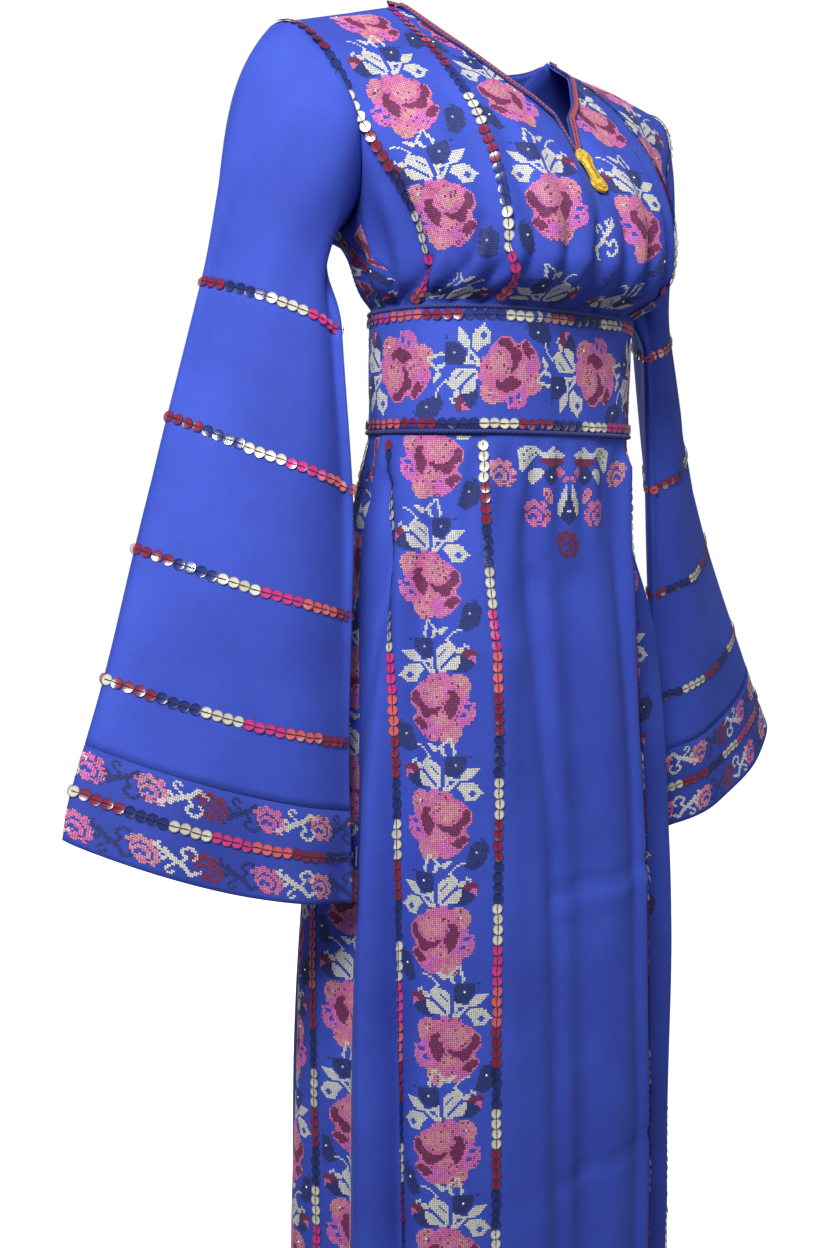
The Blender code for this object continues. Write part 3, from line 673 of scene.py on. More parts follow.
@dataclass
class Cloth:
    """One cut piece: its outer points row by row, and where each lies on the dress."""

    name: str
    points: Array
    place: Array
    tube: bool = False
    slot: str = "blue_cloth"
    wall: float = CLOTH_WALL
    scale: tuple[float, float] = (1.0, 1.0)

    def normals(self) -> Array:
        """The outward direction at each point.

        Returns:
            Rows of directions.
        """
        if self.tube:
            ahead = np.roll(self.points, -1, 1) - np.roll(self.points, 1, 1)
        else:
            ahead = np.gradient(self.points, axis=1)
        return unit(np.cross(np.gradient(self.points, axis=0), ahead))

    def push(self, outward: Array) -> None:
        """Moves the cloth outward; two pieces move the same way where a seam joins them."""
        ways = self.normals() if self.tube else level_ways(self.place)
        self.points = self.points + ways * outward[..., None]

    def crease(self, creases: Iterable[Crease]) -> None:
        """Presses creases into the cloth.

        Args:
            creases: The creases.
        """
        moved = np.zeros(self.points.shape[:2])
        for one in creases:
            moved += one.height(self.place, self.scale)
        self.push(moved)

    def drawn_back(self) -> Array:
        """The outer points with every edge drawn back by half a seam gap.

        Returns:
            Rows of points.
        """
        grid = self.points.copy()
        spare = SEAM_GAP / 2
        grid[0] += unit(grid[1] - grid[0]) * spare
        grid[-1] += unit(grid[-2] - grid[-1]) * spare
        if not self.tube:
            grid[:, 0] += unit(grid[:, 1] - grid[:, 0]) * spare
            grid[:, -1] += unit(grid[:, -2] - grid[:, -1]) * spare
        return grid

    def lapped(self) -> Array:
        """The inner points, whose side edges run on under the next piece as a seam allowance does.

        Returns:
            Rows of points.
        """
        grid = self.points - self.normals() * self.wall
        if not self.tube:
            grid[:, 0] -= unit(grid[:, 1] - grid[:, 0]) * SEAM_LAP
            grid[:, -1] -= unit(grid[:, -2] - grid[:, -1]) * SEAM_LAP
        return grid

    def outer_area(self) -> float:
        """The area of the outer face.

        Returns:
            Square metres.
        """
        grid = self.points
        if self.tube:
            grid = np.concatenate([grid, grid[:, :1]], axis=1)
        one = np.cross(grid[1:, :-1] - grid[:-1, :-1], grid[:-1, 1:] - grid[:-1, :-1])
        two = np.cross(grid[1:, :-1] - grid[1:, 1:], grid[:-1, 1:] - grid[1:, 1:])
        return float((np.linalg.norm(one, axis=-1) + np.linalg.norm(two, axis=-1)).sum() / 2)

    def flat_size(self) -> tuple[float, float]:
        """The width and length of the flat cut.

        Returns:
            Both in metres.
        """
        grid = self.points
        if self.tube:
            grid = np.concatenate([grid, grid[:, :1]], axis=1)
        widths = np.linalg.norm(np.diff(grid, axis=1), axis=-1).sum(1)
        lengths = np.linalg.norm(np.diff(grid, axis=0), axis=-1).sum(0)
        return float(widths.max()), float(lengths.max())


class Mapped:
    """A stretch of cloth read by plain lengths: down from its top, and across from a line."""

    STEP: float = 0.002

    def __init__(self, grid: Array, middle: int, flipped: bool = False) -> None:
        """Spreads the grid out evenly.

        Args:
            grid: Rows of points.
            middle: The column from which lengths across are counted.
            flipped: Whether the columns run the other way, so that the grid faces inward.
        """
        self.flipped = flipped
        self.down = along(grid[:, middle])
        self.heights = grid[:, middle, 2]
        spans = []
        for row in grid:
            run = along(row)
            spans.append(run - run[middle])
        low = min(run[0] for run in spans)
        high = max(run[-1] for run in spans)
        self.across = np.arange(low, high + self.STEP, self.STEP)
        self.low = np.array([run[0] for run in spans])
        self.high = np.array([run[-1] for run in spans])
        self.grid = np.stack([
            read_line(self.across, run, row) for run, row in zip(spans, grid)
        ])
        right = np.gradient(self.grid, axis=1)
        below = np.gradient(self.grid, axis=0)
        for n, (first, last) in enumerate(zip(self.low, self.high)):
            inside = np.flatnonzero((self.across >= first) & (self.across <= last))
            if len(inside) > 1:
                right[n, :inside[0] + 1] = right[n, min(inside[0] + 1, inside[-1])]
                right[n, inside[-1]:] = right[n, max(inside[-1] - 1, inside[0])]
        self.right = unit(right)
        self.out = unit(np.cross(below, right)) * (-1.0 if flipped else 1.0)

    def at_height(self, z: float) -> float:
        """The length down to a height, on the middle line."""
        return float(np.interp(-z, -self.heights, self.down))

    def read(
        self, down: Array, across: Array
    ) -> tuple[Array, Array, Array, Array]:
        """Reads the cloth at plain lengths.

        Args:
            down: Lengths down.
            across: Lengths across.

        Returns:
            The points, the directions across, the outward directions, and which of them
            lie on the cloth.
        """
        row = np.interp(down, self.down, np.arange(len(self.down)))
        column = np.clip((across - self.across[0]) / self.STEP, 0, len(self.across) - 1.001)
        r = np.clip(row.astype(int), 0, len(self.down) - 2)
        c = column.astype(int)
        fr, fc = (row - r)[:, None], (column - c)[:, None]

        def blend(source: Array) -> Array:
            """Values between the four nearest places.

            Args:
                source: The values at the places.

            Returns:
                Those read.
            """
            return (
                source[r, c] * (1 - fr) * (1 - fc) + source[r, c + 1] * (1 - fr) * fc
                + source[r + 1, c] * fr * (1 - fc) + source[r + 1, c + 1] * fr * fc
            )

        low = np.interp(down, self.down, self.low)
        high = np.interp(down, self.down, self.high)
        inside = (down >= 0) & (down <= self.down[-1]) & (across > low) & (across < high)
        out = unit(blend(self.out))
        right = squared(blend(self.right), out)
        return blend(self.grid), right, out, inside


@dataclass
class DressForm:
    """The worn shape of the whole dress, cut into its pieces."""

    centre_columns: int = 28
    strip_columns: int = 26
    gore_columns: int = 14
    side_columns: int = 24
    back_columns: tuple[int, int, int] = (18, 16, 14)
    upper_rows: int = 18
    lower_rows: int = 30
    rows_below: tuple[tuple[float, int], ...] = (
        (BELT_TOP_Z, 10), (BELT_BOTTOM_Z, 6), (-0.620, 24), (HEM_Z, 84)
    )
    upper_sleeve_rows: int = 34
    ring_rows: int = 13
    creases: tuple[Crease, ...] = ()
    sleeve_creases: tuple[Crease, ...] = ()
    pieces: dict[str, Cloth] = field(default_factory=dict)

    def build(self) -> dict[str, Cloth]:
        """Works out every piece.

        Returns:
            The pieces by name.
        """
        left, right = self.body_half(1), self.body_half(-1)
        self.join("front_centre", right["centre"], left["centre"])
        back_left, back_right = left["back"], right["back"]
        self.keep("back", np.concatenate([back_left, self.mirrored(back_right)[:, 1:]], axis=1))
        for part, name in (
            ("strip", "front_strip"), ("gore", "side_front"), ("side", "side_panel")
        ):
            self.keep(name + "_left", left[part])
            self.keep(name + "_right", self.mirrored(right[part]))
        for side, crown in ((1, -0.05), (-1, 0.60)):
            self.sleeve(side, crown)
        for piece in self.pieces.values():
            piece.crease(self.sleeve_creases if piece.tube else self.creases)
            self.unevenness(piece)
        return self.pieces

    def join(self, name: str, right: Array, left: Array) -> None:
        """Keeps a piece that runs over the centre line."""
        self.keep(name, np.concatenate([self.mirrored(right), left[:, 1:]], axis=1))

    def keep(self, name: str, grid: Array) -> None:
        """Keeps a body piece; a grid holds x, y, z and the distance round."""
        points, place = grid[..., :3], np.stack([grid[..., 3], grid[..., 2]], -1)
        self.pieces[name] = Cloth(name, self.settled(points), place)

    @staticmethod
    def mirrored(grid: Array) -> Array:
        """The other side's copy, turned so that it still faces out."""
        return grid[:, ::-1] * np.array((-1.0, 1.0, 1.0, -1.0))

    @staticmethod
    def settled(points: Array) -> Array:
        """The points with the cloth round the left neck point let down."""
        away = np.linalg.norm(points - NECK_POINT, axis=-1, keepdims=True)
        return points - np.array((0.0, 0.0, LEFT_DROP)) * np.exp(-((away / LEFT_DROP_REACH) ** 2))

    @staticmethod
    def unevenness(piece: Cloth) -> None:
        """Gives the cloth the slight waves of cloth that hangs.

        Args:
            piece: The cloth.
        """
        around = piece.place[..., 0] * piece.scale[0]
        down = piece.place[..., 1] * piece.scale[1]
        wave = np.zeros(around.shape)
        for across, along_it, phase, size in (
            (34.0, 7.0, 0.3, 0.0009), (61.0, -11.0, 1.9, 0.0006), (23.0, 19.0, 4.1, 0.0007),
            (97.0, 9.0, 2.6, 0.0003),
        ):
            wave += size * np.sin(across * around + along_it * down + phase)
        piece.push(wave)

    def yoke(self) -> dict[str, Array]:
        """The left half from neck, shoulder and armhole to the first full section.

        Returns:
            Grids of points by the piece's short name.
        """
        ring = BodySection(YOKE_Z)
        rows = self.upper_rows + self.lower_rows
        even = np.linspace(0, 1, rows + 1)
        lower = np.linspace(0, 1, self.lower_rows + 1)
        names = ("strip_in", "strip_out", "gore_out", "side_out")
        ends = np.array([0.0] + [seam(n, ring) for n in names] + [ring.half_girth])
        feet = ring.points(ends)
        back_girth = ends[5] - ends[4]
        at_shoulder = ends[4] + BACK_SHARES[1] * back_girth
        at_neck = ends[4] + BACK_SHARES[2] * back_girth

        def run(around: float) -> Array:
            """The way the cloth runs down at the foot of the yoke.

            Args:
                around: The distance round.

            Returns:
                The direction.
            """
            below, above = BodySection(YOKE_Z - 0.010), BodySection(YOKE_Z + 0.010)
            share = around / ring.half_girth
            low = below.plain(np.array([share * below.half_girth]))[0]
            high = above.plain(np.array([share * above.half_girth]))[0]
            return unit(low - high)

        def foot(first: float, last: float, count: int) -> Array:
            """Points along the first full section."""
            return ring.points(np.linspace(first, last, count + 1))

        slit = self.neckline(np.array([0.0]))[0]
        centre_line = bent_line(slit, np.array((0, -0.65, -1.0)), run(0.0), feet[0], even)
        strip_line = bent_line(
            STRIP_POINT, np.array((-0.12, -1.25, -1.0)), run(ends[1]), feet[1], even
        )
        arm_front = armhole(np.linspace(0, STRIP_TURN, self.upper_rows + 1))
        leave = np.array((-0.35, -0.30, -0.9))
        side_front = bent_line(arm_front[-1], leave, run(ends[2]), feet[2], lower)
        strip_edge = np.concatenate([arm_front, side_front[1:]])
        gore_top = armhole(np.linspace(STRIP_TURN, GORE_TURN, self.gore_columns + 1))
        gore_line = bent_line(
            gore_top[-1], np.array((-0.1, -0.1, -1.0)), run(ends[3]), feet[3], lower
        )
        side_top = armhole(np.linspace(GORE_TURN, SIDE_TURN, self.side_columns + 1))
        side_line = bent_line(
            side_top[-1], np.array((-0.1, 0.0, -1.0)), run(ends[4]), feet[4], lower
        )
        arm_count, shoulder_count, neck_count = self.back_columns
        arm_back = armhole(np.linspace(SIDE_TURN, 2 * math.pi, arm_count + 1))
        shoulder_line = bent_line(
            SHOULDER_POINT, np.array((-0.85, 1.0, -0.8)), run(at_shoulder),
            ring.points(np.array([at_shoulder]))[0], lower,
        )
        neck_line = bent_line(
            NECK_POINT, np.array((-0.1, 1.3, -1.0)), run(at_neck),
            ring.points(np.array([at_neck]))[0], lower,
        )
        back_line = bent_line(BACK_NECK, np.array((0, 0.5, -1.0)), run(ends[5]), feet[5], lower)
        turn = np.linspace(0, math.pi / 2, neck_count + 1)[:, None]
        fall = BACK_NECK - NECK_POINT
        back_neck = NECK_POINT + np.concatenate(
            [NECK_POINT[0] * (np.cos(turn) - 1), fall[1] * np.sin(turn), fall[2] * np.sin(turn)], 1
        )
        span = np.linspace(0, 1, self.strip_columns + 1)[:, None]
        back_span = np.linspace(0, 1, shoulder_count)[:, None]
        shoulder = np.concatenate(
            [SHOULDER_POINT + back_span * (STRIP_POINT - SHOULDER_POINT), [NECK_POINT]]
        )
        back_parts = (
            filled_patch(arm_back, foot(ends[4], at_shoulder, arm_count), side_line, shoulder_line),
            filled_patch(
                shoulder, foot(at_shoulder, at_neck, shoulder_count), shoulder_line, neck_line
            )[:, 1:],
            filled_patch(back_neck, foot(at_neck, ends[5], neck_count), neck_line, back_line)[:, 1:],
        )
        return dict(
            centre=filled_patch(
                self.neckline(np.linspace(0, 1, self.centre_columns + 1)),
                foot(0.0, ends[1], self.centre_columns), centre_line, strip_line,
            ),
            strip=filled_patch(
                STRIP_POINT + span * (SHOULDER_POINT - STRIP_POINT),
                foot(ends[1], ends[2], self.strip_columns), strip_line, strip_edge,
            ),
            gore=filled_patch(
                gore_top, foot(ends[2], ends[3], self.gore_columns), side_front, gore_line
            ),
            side=filled_patch(
                side_top, foot(ends[3], ends[4], self.side_columns), gore_line, side_line
            ),
            back=np.concatenate(back_parts, axis=1),
        )

    @staticmethod
    def neckline(shares: Array) -> Array:
        """Points of the left half of the front neckline."""
        known = NECKLINE[:, 0]
        return np.stack([np.interp(shares, known, NECKLINE[:, k]) for k in (1, 2, 3)], -1)

    def rounds(self, section: BodySection) -> dict[str, Array]:
        """Each piece's distances round a section, one a column.

        Args:
            section: The section.

        Returns:
            The distances by the piece's short name.
        """
        edges = [0.0] + [
            seam(n, section) for n in ("strip_in", "strip_out", "gore_out", "side_out")
        ]
        counts = (
            self.centre_columns, self.strip_columns, self.gore_columns, self.side_columns
        )
        found = {
            name: np.linspace(low, high, count + 1)
            for name, low, high, count in zip(
                ("centre", "strip", "gore", "side"), edges, edges[1:], counts
            )
        }
        girth = section.half_girth - edges[4]
        stretches = [
            edges[4] + girth * np.linspace(a, b, n + 1)[1:]
            for a, b, n in zip(BACK_SHARES, BACK_SHARES[1:], self.back_columns)
        ]
        found["back"] = np.concatenate([[edges[4]], *stretches])
        return found

    def body_half(self, side: int) -> dict[str, Array]:
        """One half of each body piece, laid out as if on the left.

        Args:
            side: 1 for the wearer's left and -1 for the right.

        Returns:
            Grids of x, y, z and the distance round, by the piece's short name.
        """
        yoke = self.yoke()
        feet = self.rounds(BodySection(YOKE_Z))
        halves = {}
        for name, grid in yoke.items():
            around = np.broadcast_to(feet[name], grid.shape[:2])
            halves[name] = [np.concatenate([grid, around[..., None]], -1)]
        heights, start = [], YOKE_Z
        for end, count in self.rows_below:
            heights += list(np.linspace(start, end, count + 1)[1:])
            start = end
        for z in heights:
            section = BodySection(z)
            for name, around in self.rounds(section).items():
                row = section.points(side * around) * np.array((side, 1.0, 1.0))
                halves[name].append(np.concatenate([row, around[:, None]], -1)[None])
        return {name: np.concatenate(rows) for name, rows in halves.items()}

    @staticmethod
    def ring_sizes(at: Array) -> Array:
        """The sleeve's sizes between its rings, on smooth curves.

        Args:
            at: Ring numbers, from 0 at the first ring to 5 at the hem.

        Returns:
            One row of sizes for each.
        """
        rows = SLEEVE_RINGS
        padded = np.concatenate([2 * rows[:1] - rows[1:2], rows, 2 * rows[-1:] - rows[-2:-1]])
        low = np.clip(at.astype(int), 0, len(rows) - 2)
        t = (at - low)[:, None]
        a, b, c, d = (padded[low + k] for k in range(4))
        return 0.5 * (
            2 * b + (c - a) * t + (2 * a - 5 * b + 4 * c - d) * t ** 2
            + (3 * b - a - 3 * c + d) * t ** 3
        )

    def sleeve_rows(self, at: Array, turns: Array) -> Array:
        """Rows of the left sleeve's lower part.

        Args:
            at: Ring numbers, one a row.
            turns: Where round the tube the points lie.

        Returns:
            Rows of points.
        """
        sizes = self.ring_sizes(at)
        outer, inner = sizes[:, 0:3], sizes[:, 3:6]
        across = (outer - inner) / 2
        thick = unit(np.cross(across, np.array((0.25, 0.0, -1.0))))
        thick = np.where(thick[:, 1:2] > 0, -thick, thick) * sizes[:, 6:7]
        c, s = np.cos(turns)[None, :, None], np.sin(turns)[None, :, None]
        rows = ((outer + inner) / 2)[:, None] + across[:, None] * c + thick[:, None] * s
        rows[..., 2] -= sizes[:, 7:8] * s[..., 0] ** 2
        return rows

    def sleeve(self, side: int, crown: float) -> None:
        """Keeps one arm's three tubes.

        Args:
            side: 1 for the wearer's left and -1 for the right.
            crown: How far the sleeve swells outward below its shoulder point.
        """
        turns = even_turns(SLEEVE_COLUMNS)
        top = armhole(turns) + np.array((SEAM_GAP, 0.0, 0.0))
        heads = self.sleeve_rows(np.array([0.0, 1.0]), turns)
        high, low = np.maximum(np.cos(turns), 0), np.maximum(-np.cos(turns), 0)
        outward = 0.40 + crown * high + 0.45 * low
        leave = np.stack([outward, -0.10 * np.sin(turns), np.full_like(turns, -1.1)], -1)
        shares = np.linspace(0, 1, self.upper_sleeve_rows + 1)
        upper = np.stack([
            bent_line(a, out, b_next - b, b, shares)
            for a, out, b, b_next in zip(top, leave, heads[0], heads[1])
        ], axis=1)
        lower_at = np.linspace(0, CUFF_TOP, int(self.ring_rows * CUFF_TOP) + 1)
        band_at = np.linspace(CUFF_TOP, HEM_RING, 14)
        tag = "_left" if side > 0 else "_right"
        for name, grid, at, slot in (
            ("sleeve_upper", upper, shares - 1.0, "blue_cloth"),
            ("sleeve_lower", self.sleeve_rows(lower_at, turns), lower_at, "blue_cloth"),
            ("cuff_band", self.sleeve_rows(band_at, turns), band_at, "cuff_cloth"),
        ):
            place = np.stack(np.broadcast_arrays(turns[None], at[:, None]), -1)
            grid, place = grid[:, ::-1], place[:, ::-1]
            if side < 0:
                grid = grid[:, ::-1] * np.array((-1.0, 1.0, 1.0))
                place = place[:, ::-1] * np.array((-1.0, 1.0))
            else:
                grid = self.settled(grid)
            self.pieces[name + tag] = Cloth(
                name + tag, grid, place, tube=True, slot=slot, scale=SLEEVE_SCALE
            )


def piece_from(
    name: str, points: Array, faces: Sequence[Array], finish: Finish,
    smooth: bool = True,
) -> bpy.types.Object:
    """Makes an object of plain arrays.

    Args:
        name: The object's name.
        points: Its corners.
        faces: Arrays of corner numbers, one for each number of sides.
        finish: Its material.
        smooth: Whether it is shaded smoothly.

    Returns:
        The object, riding on the dress.
    """
    mesh = bpy.data.meshes.new(name)
    mesh.vertices.add(len(points))
    mesh.vertices.foreach_set("co", np.ascontiguousarray(points, np.float32).ravel())
    loops = np.concatenate([f.ravel() for f in faces])
    totals = np.concatenate([np.full(len(f), f.shape[1]) for f in faces])
    mesh.loops.add(len(loops))
    mesh.loops.foreach_set("vertex_index", loops.astype(np.int32))
    mesh.polygons.add(len(totals))
    starts = np.concatenate([[0], np.cumsum(totals)[:-1]])
    mesh.polygons.foreach_set("loop_start", starts.astype(np.int32))
    mesh.update(calc_edges=True)
    if smooth:
        mesh.shade_smooth()
    mesh.materials.append(finish)
    made = bpy.data.objects.new(name, mesh)
    bpy.context.scene.collection.objects.link(made)
    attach(made, BODY)
    return made


def grid_faces(rows: int, columns: int, closed: bool, start: int = 0) -> Array:
    """Four-sided faces over a grid of corners, wound so that they face out.

    Args:
        rows: Corners down.
        columns: Corners across.
        closed: Whether the last column joins the first.
        start: The number of the first corner.

    Returns:
        The faces.
    """
    r = np.arange(rows - 1)[:, None]
    c = np.arange(columns if closed else columns - 1)[None, :]
    n = (c + 1) % columns
    corners = (r * columns + c, (r + 1) * columns + c, (r + 1) * columns + n, r * columns + n)
    return np.stack(np.broadcast_arrays(*corners), -1).reshape(-1, 4) + start


def walled(
    name: str, outer: Array, inner: Array, closed: bool, finish: Finish
) -> bpy.types.Object:
    """Makes a closed wall between an outer and an inner face.

    Args:
        name: The object's name.
        outer: The outer face's rows of points.
        inner: The inner face's.
        closed: Whether the rows run all the way round.
        finish: Its material.

    Returns:
        The object.
    """
    rows, columns = outer.shape[:2]
    count = rows * columns
    front = grid_faces(rows, columns, closed)
    behind = grid_faces(rows, columns, closed, count)[:, ::-1]

    def rim(line: Array, ring: bool) -> Array:
        """Faces that join one edge's two lines.

        Args:
            line: Corner numbers along the edge.
            ring: Whether the edge closes.

        Returns:
            The faces.
        """
        follow = np.roll(line, -1) if ring else line[1:]
        here = line if ring else line[:-1]
        return np.stack([here, follow, follow + count, here + count], -1)

    ids = np.arange(count).reshape(rows, columns)
    rims = [rim(ids[0], closed), rim(ids[-1], closed)[:, ::-1]]
    if not closed:
        rims += [rim(ids[:, 0], False)[:, ::-1], rim(ids[:, -1], False)]
    points = np.concatenate([outer.reshape(-1, 3), inner.reshape(-1, 3)])
    return piece_from(name, points, [np.concatenate([front, behind, *rims])], finish)


class MeshPile:
    """Many small parts gathered into one mesh, each corner with a colour and a place."""

    def __init__(self, name: str) -> None:
        """Starts an empty pile.

        Args:
            name: The object's name.
        """
        self.name = name
        self.points: list[Array] = []
        self.colours: list[Array] = []
        self.places: list[Array] = []
        self.faces: dict[int, list[Array]] = {}
        self.count = 0

    def add(
        self, points: Array, faces: Array, colours: Array, places: Array
    ) -> None:
        """Puts parts on the pile.

        Args:
            points: Corners.
            faces: Faces by corner number.
            colours: A colour for each corner, with its strength last.
            places: Three numbers for each corner, read by the finish.
        """
        self.points.append(points)
        self.colours.append(colours)
        self.places.append(places)
        self.faces.setdefault(faces.shape[1], []).append(faces + self.count)
        self.count += len(points)

    def add_copies(
        self, shape: Array, faces: Array, place: Array, at: Array,
        axes: Array, colours: Array,
    ) -> None:
        """Puts copies of one small shape on the pile.

        Args:
            shape: Its corners.
            faces: Its faces.
            place: Three numbers for each corner.
            at: Where each copy lies.
            axes: Each copy's three axes, one row an axis.
            colours: Each copy's colour.
        """
        points = at[:, None] + np.einsum("vk,nkj->nvj", shape, axes)
        step = np.arange(len(at))[:, None, None] * len(shape)
        self.add(
            points.reshape(-1, 3), (faces[None] + step).reshape(-1, faces.shape[1]),
            np.repeat(colours, len(shape), 0), np.tile(place, (len(at), 1)),
        )

    def made(self, finish: Finish, smooth: bool) -> Optional[bpy.types.Object]:
        """Makes the object.

        Args:
            finish: Its material.
            smooth: Whether it is shaded smoothly.

        Returns:
            The object, or nothing if the pile is empty.
        """
        if not self.count:
            return None
        faces = [np.concatenate(group) for group in self.faces.values()]
        made = piece_from(self.name, np.concatenate(self.points), faces, finish, smooth)
        colour = made.data.attributes.new("thread_colour", "FLOAT_COLOR", "POINT")
        colour.data.foreach_set("color", np.concatenate(self.colours).astype(np.float32).ravel())
        place = made.data.attributes.new("stitch", "FLOAT_VECTOR", "POINT")
        place.data.foreach_set("vector", np.concatenate(self.places).astype(np.float32).ravel())
        triangles = sum(len(f) * (f.shape[1] - 2) for f in faces)
        LOG.info("%s: %d triangles", self.name, triangles)
        return made


def tube_along(
    line: Array, out: Array, radius: float, sides: int, closed: bool
) -> tuple[Array, Array, Array]:
    """A round cord along a line.

    Args:
        line: The points that it follows.
        out: An outward direction at each point.
        radius: Its radius.
        sides: Corners round it.
        closed: Whether the line joins its own start.

    Returns:
        The corners, the faces, and for each corner its turn, length run and radius.
    """
    if closed:
        ahead = unit(np.roll(line, -1, 0) - np.roll(line, 1, 0))
    else:
        ahead = unit(np.gradient(line, axis=0))
    out = squared(out, ahead)
    beside = np.cross(ahead, out)
    turn = even_turns(sides)
    ring = out[:, None] * np.cos(turn)[None, :, None] + beside[:, None] * np.sin(turn)[None, :, None]
    points = line[:, None] + radius * ring
    ids = np.arange(len(line) * sides).reshape(len(line), sides)
    if closed:
        ids = np.concatenate([ids, ids[:1]])
    a, b = ids[:-1], ids[1:]
    faces = np.stack([a, np.roll(a, -1, 1), np.roll(b, -1, 1), b], -1).reshape(-1, 4)
    run = along(line)[:, None] + 0 * turn[None]
    place = np.stack([turn[None] + 0 * run, run, np.full_like(run, radius)], -1)
    return points.reshape(-1, 3), faces, place.reshape(-1, 3)


class Wire:
    """A socket, with plain sums written on it."""

    def __init__(self, recipe: "Recipe", socket: bpy.types.NodeSocket) -> None:
        """Keeps the socket and the recipe that it belongs to."""
        self.recipe = recipe
        self.socket = socket

    def __add__(self, other: "Number") -> "Wire":
        """The sum."""
        return self.recipe.sum("ADD", self, other)

    def __radd__(self, other: "Number") -> "Wire":
        """The sum."""
        return self.recipe.sum("ADD", other, self)

    def __sub__(self, other: "Number") -> "Wire":
        """The difference."""
        return self.recipe.sum("SUBTRACT", self, other)

    def __rsub__(self, other: "Number") -> "Wire":
        """The difference, the other way round."""
        return self.recipe.sum("SUBTRACT", other, self)

    def __mul__(self, other: "Number") -> "Wire":
        """The product."""
        return self.recipe.sum("MULTIPLY", self, other)

    def __rmul__(self, other: "Number") -> "Wire":
        """The product."""
        return self.recipe.sum("MULTIPLY", other, self)

    def __abs__(self) -> "Wire":
        """The size without its sign."""
        return self.recipe.sum("ABSOLUTE", self)

    def sine(self) -> "Wire":
        """The sine."""
        return self.recipe.sum("SINE", self)

    def between(self, low: float, high: float) -> "Wire":
        """Read from 0 at low to 1 at high, and held outside.

        Args:
            low: What is read as 0.
            high: What is read as 1.

        Returns:
            The wire.
        """
        made = self.recipe.node("ShaderNodeMapRange", {"interpolation_type": "SMOOTHSTEP"}, {
            "Value": self, "From Min": low, "From Max": high,
        })
        return Wire(self.recipe, made.outputs["Result"])


Number = Union[Wire, float, int]


class Recipe:
    """The nodes of one material, or of the surround."""

    def __init__(self, holder: Union[Finish, bpy.types.World]) -> None:
        """Empties the nodes of what holds them.

        Args:
            holder: The material or the surround.
        """
        self.holder = holder
        self.holder.use_nodes = True
        self.tree = self.holder.node_tree
        self.tree.nodes.clear()

    def node(
        self, kind: str, settings: Optional[dict[str, Any]] = None,
        inputs: Optional[dict[Union[str, int], Any]] = None,
    ) -> bpy.types.Node:
        """Makes one node.

        Args:
            kind: The node's type.
            settings: Its own settings, made before its inputs.
            inputs: Numbers, colours or wires for its sockets.

        Returns:
            The node.
        """
        made = self.tree.nodes.new(kind)
        for key, value in (settings or {}).items():
            setattr(made, key, value)
        for key, value in (inputs or {}).items():
            if isinstance(value, Wire):
                self.tree.links.new(value.socket, made.inputs[key])
            else:
                made.inputs[key].default_value = value
        return made

    def sum(self, operation: str, *values: Number) -> Wire:
        """One sum on numbers."""
        made = self.node("ShaderNodeMath", {"operation": operation}, dict(enumerate(values)))
        return Wire(self, made.outputs[0])

    def mix(self, share: Number, first: Any, second: Any, blend: str = "MIX") -> Wire:
        """A mix of two colours.

        Args:
            share: How much of the second.
            first: The first colour or wire.
            second: The second.
            blend: How they are mixed.

        Returns:
            The mixed colour.
        """
        made = self.node(
            "ShaderNodeMix", {"data_type": "RGBA", "blend_type": blend},
            {0: share, 6: first, 7: second},
        )
        return Wire(self, made.outputs[2])

    def spot(self) -> Wire:
        """The place in the piece's own frame, in metres."""
        return Wire(self, self.node("ShaderNodeTexCoord").outputs["Object"])

    def stretched(self, spot: Wire, by: tuple[float, float, float]) -> Wire:
        """A place with its axes stretched."""
        made = self.node("ShaderNodeVectorMath", {"operation": "MULTIPLY"}, {0: spot, 1: by})
        return Wire(self, made.outputs[0])

    def noise(self, spot: Wire, scale: float, detail: float = 2.0) -> Wire:
        """Soft noise from 0 to 1.

        Args:
            spot: Where it is read.
            scale: How fine it is.
            detail: How many finer layers it has.

        Returns:
            The noise.
        """
        made = self.node("ShaderNodeTexNoise", None, {
            "Vector": spot, "Scale": scale, "Detail": detail,
        })
        return Wire(self, made.outputs["Fac"])

    def parts(self, vector: Wire) -> tuple[Wire, Wire, Wire]:
        """A vector's three numbers."""
        made = self.node("ShaderNodeSeparateXYZ", None, {0: vector})
        return tuple(Wire(self, made.outputs[k]) for k in range(3))

    def marked(self, name: str, output: str) -> Wire:
        """A mesh attribute."""
        made = self.node("ShaderNodeAttribute", {"attribute_name": name})
        return Wire(self, made.outputs[output])

    def bump(self, height: Wire, strength: float, distance: float) -> Wire:
        """A normal that is bumped by a height.

        Args:
            height: The height.
            strength: How much of it shows.
            distance: What a height of 1 stands for, in metres.

        Returns:
            The normal.
        """
        made = self.node("ShaderNodeBump", None, {
            "Height": height, "Strength": strength, "Distance": distance,
        })
        return Wire(self, made.outputs["Normal"])

    def surface(self, inputs: dict[Union[str, int], Any]) -> Finish:
        """Ends the recipe with a surface.

        Args:
            inputs: The surface's numbers, colours and wires.

        Returns:
            The material.
        """
        shader = self.node("ShaderNodeBsdfPrincipled", None, inputs)
        self.node("ShaderNodeOutputMaterial", None, {"Surface": Wire(self, shader.outputs[0])})
        return self.holder


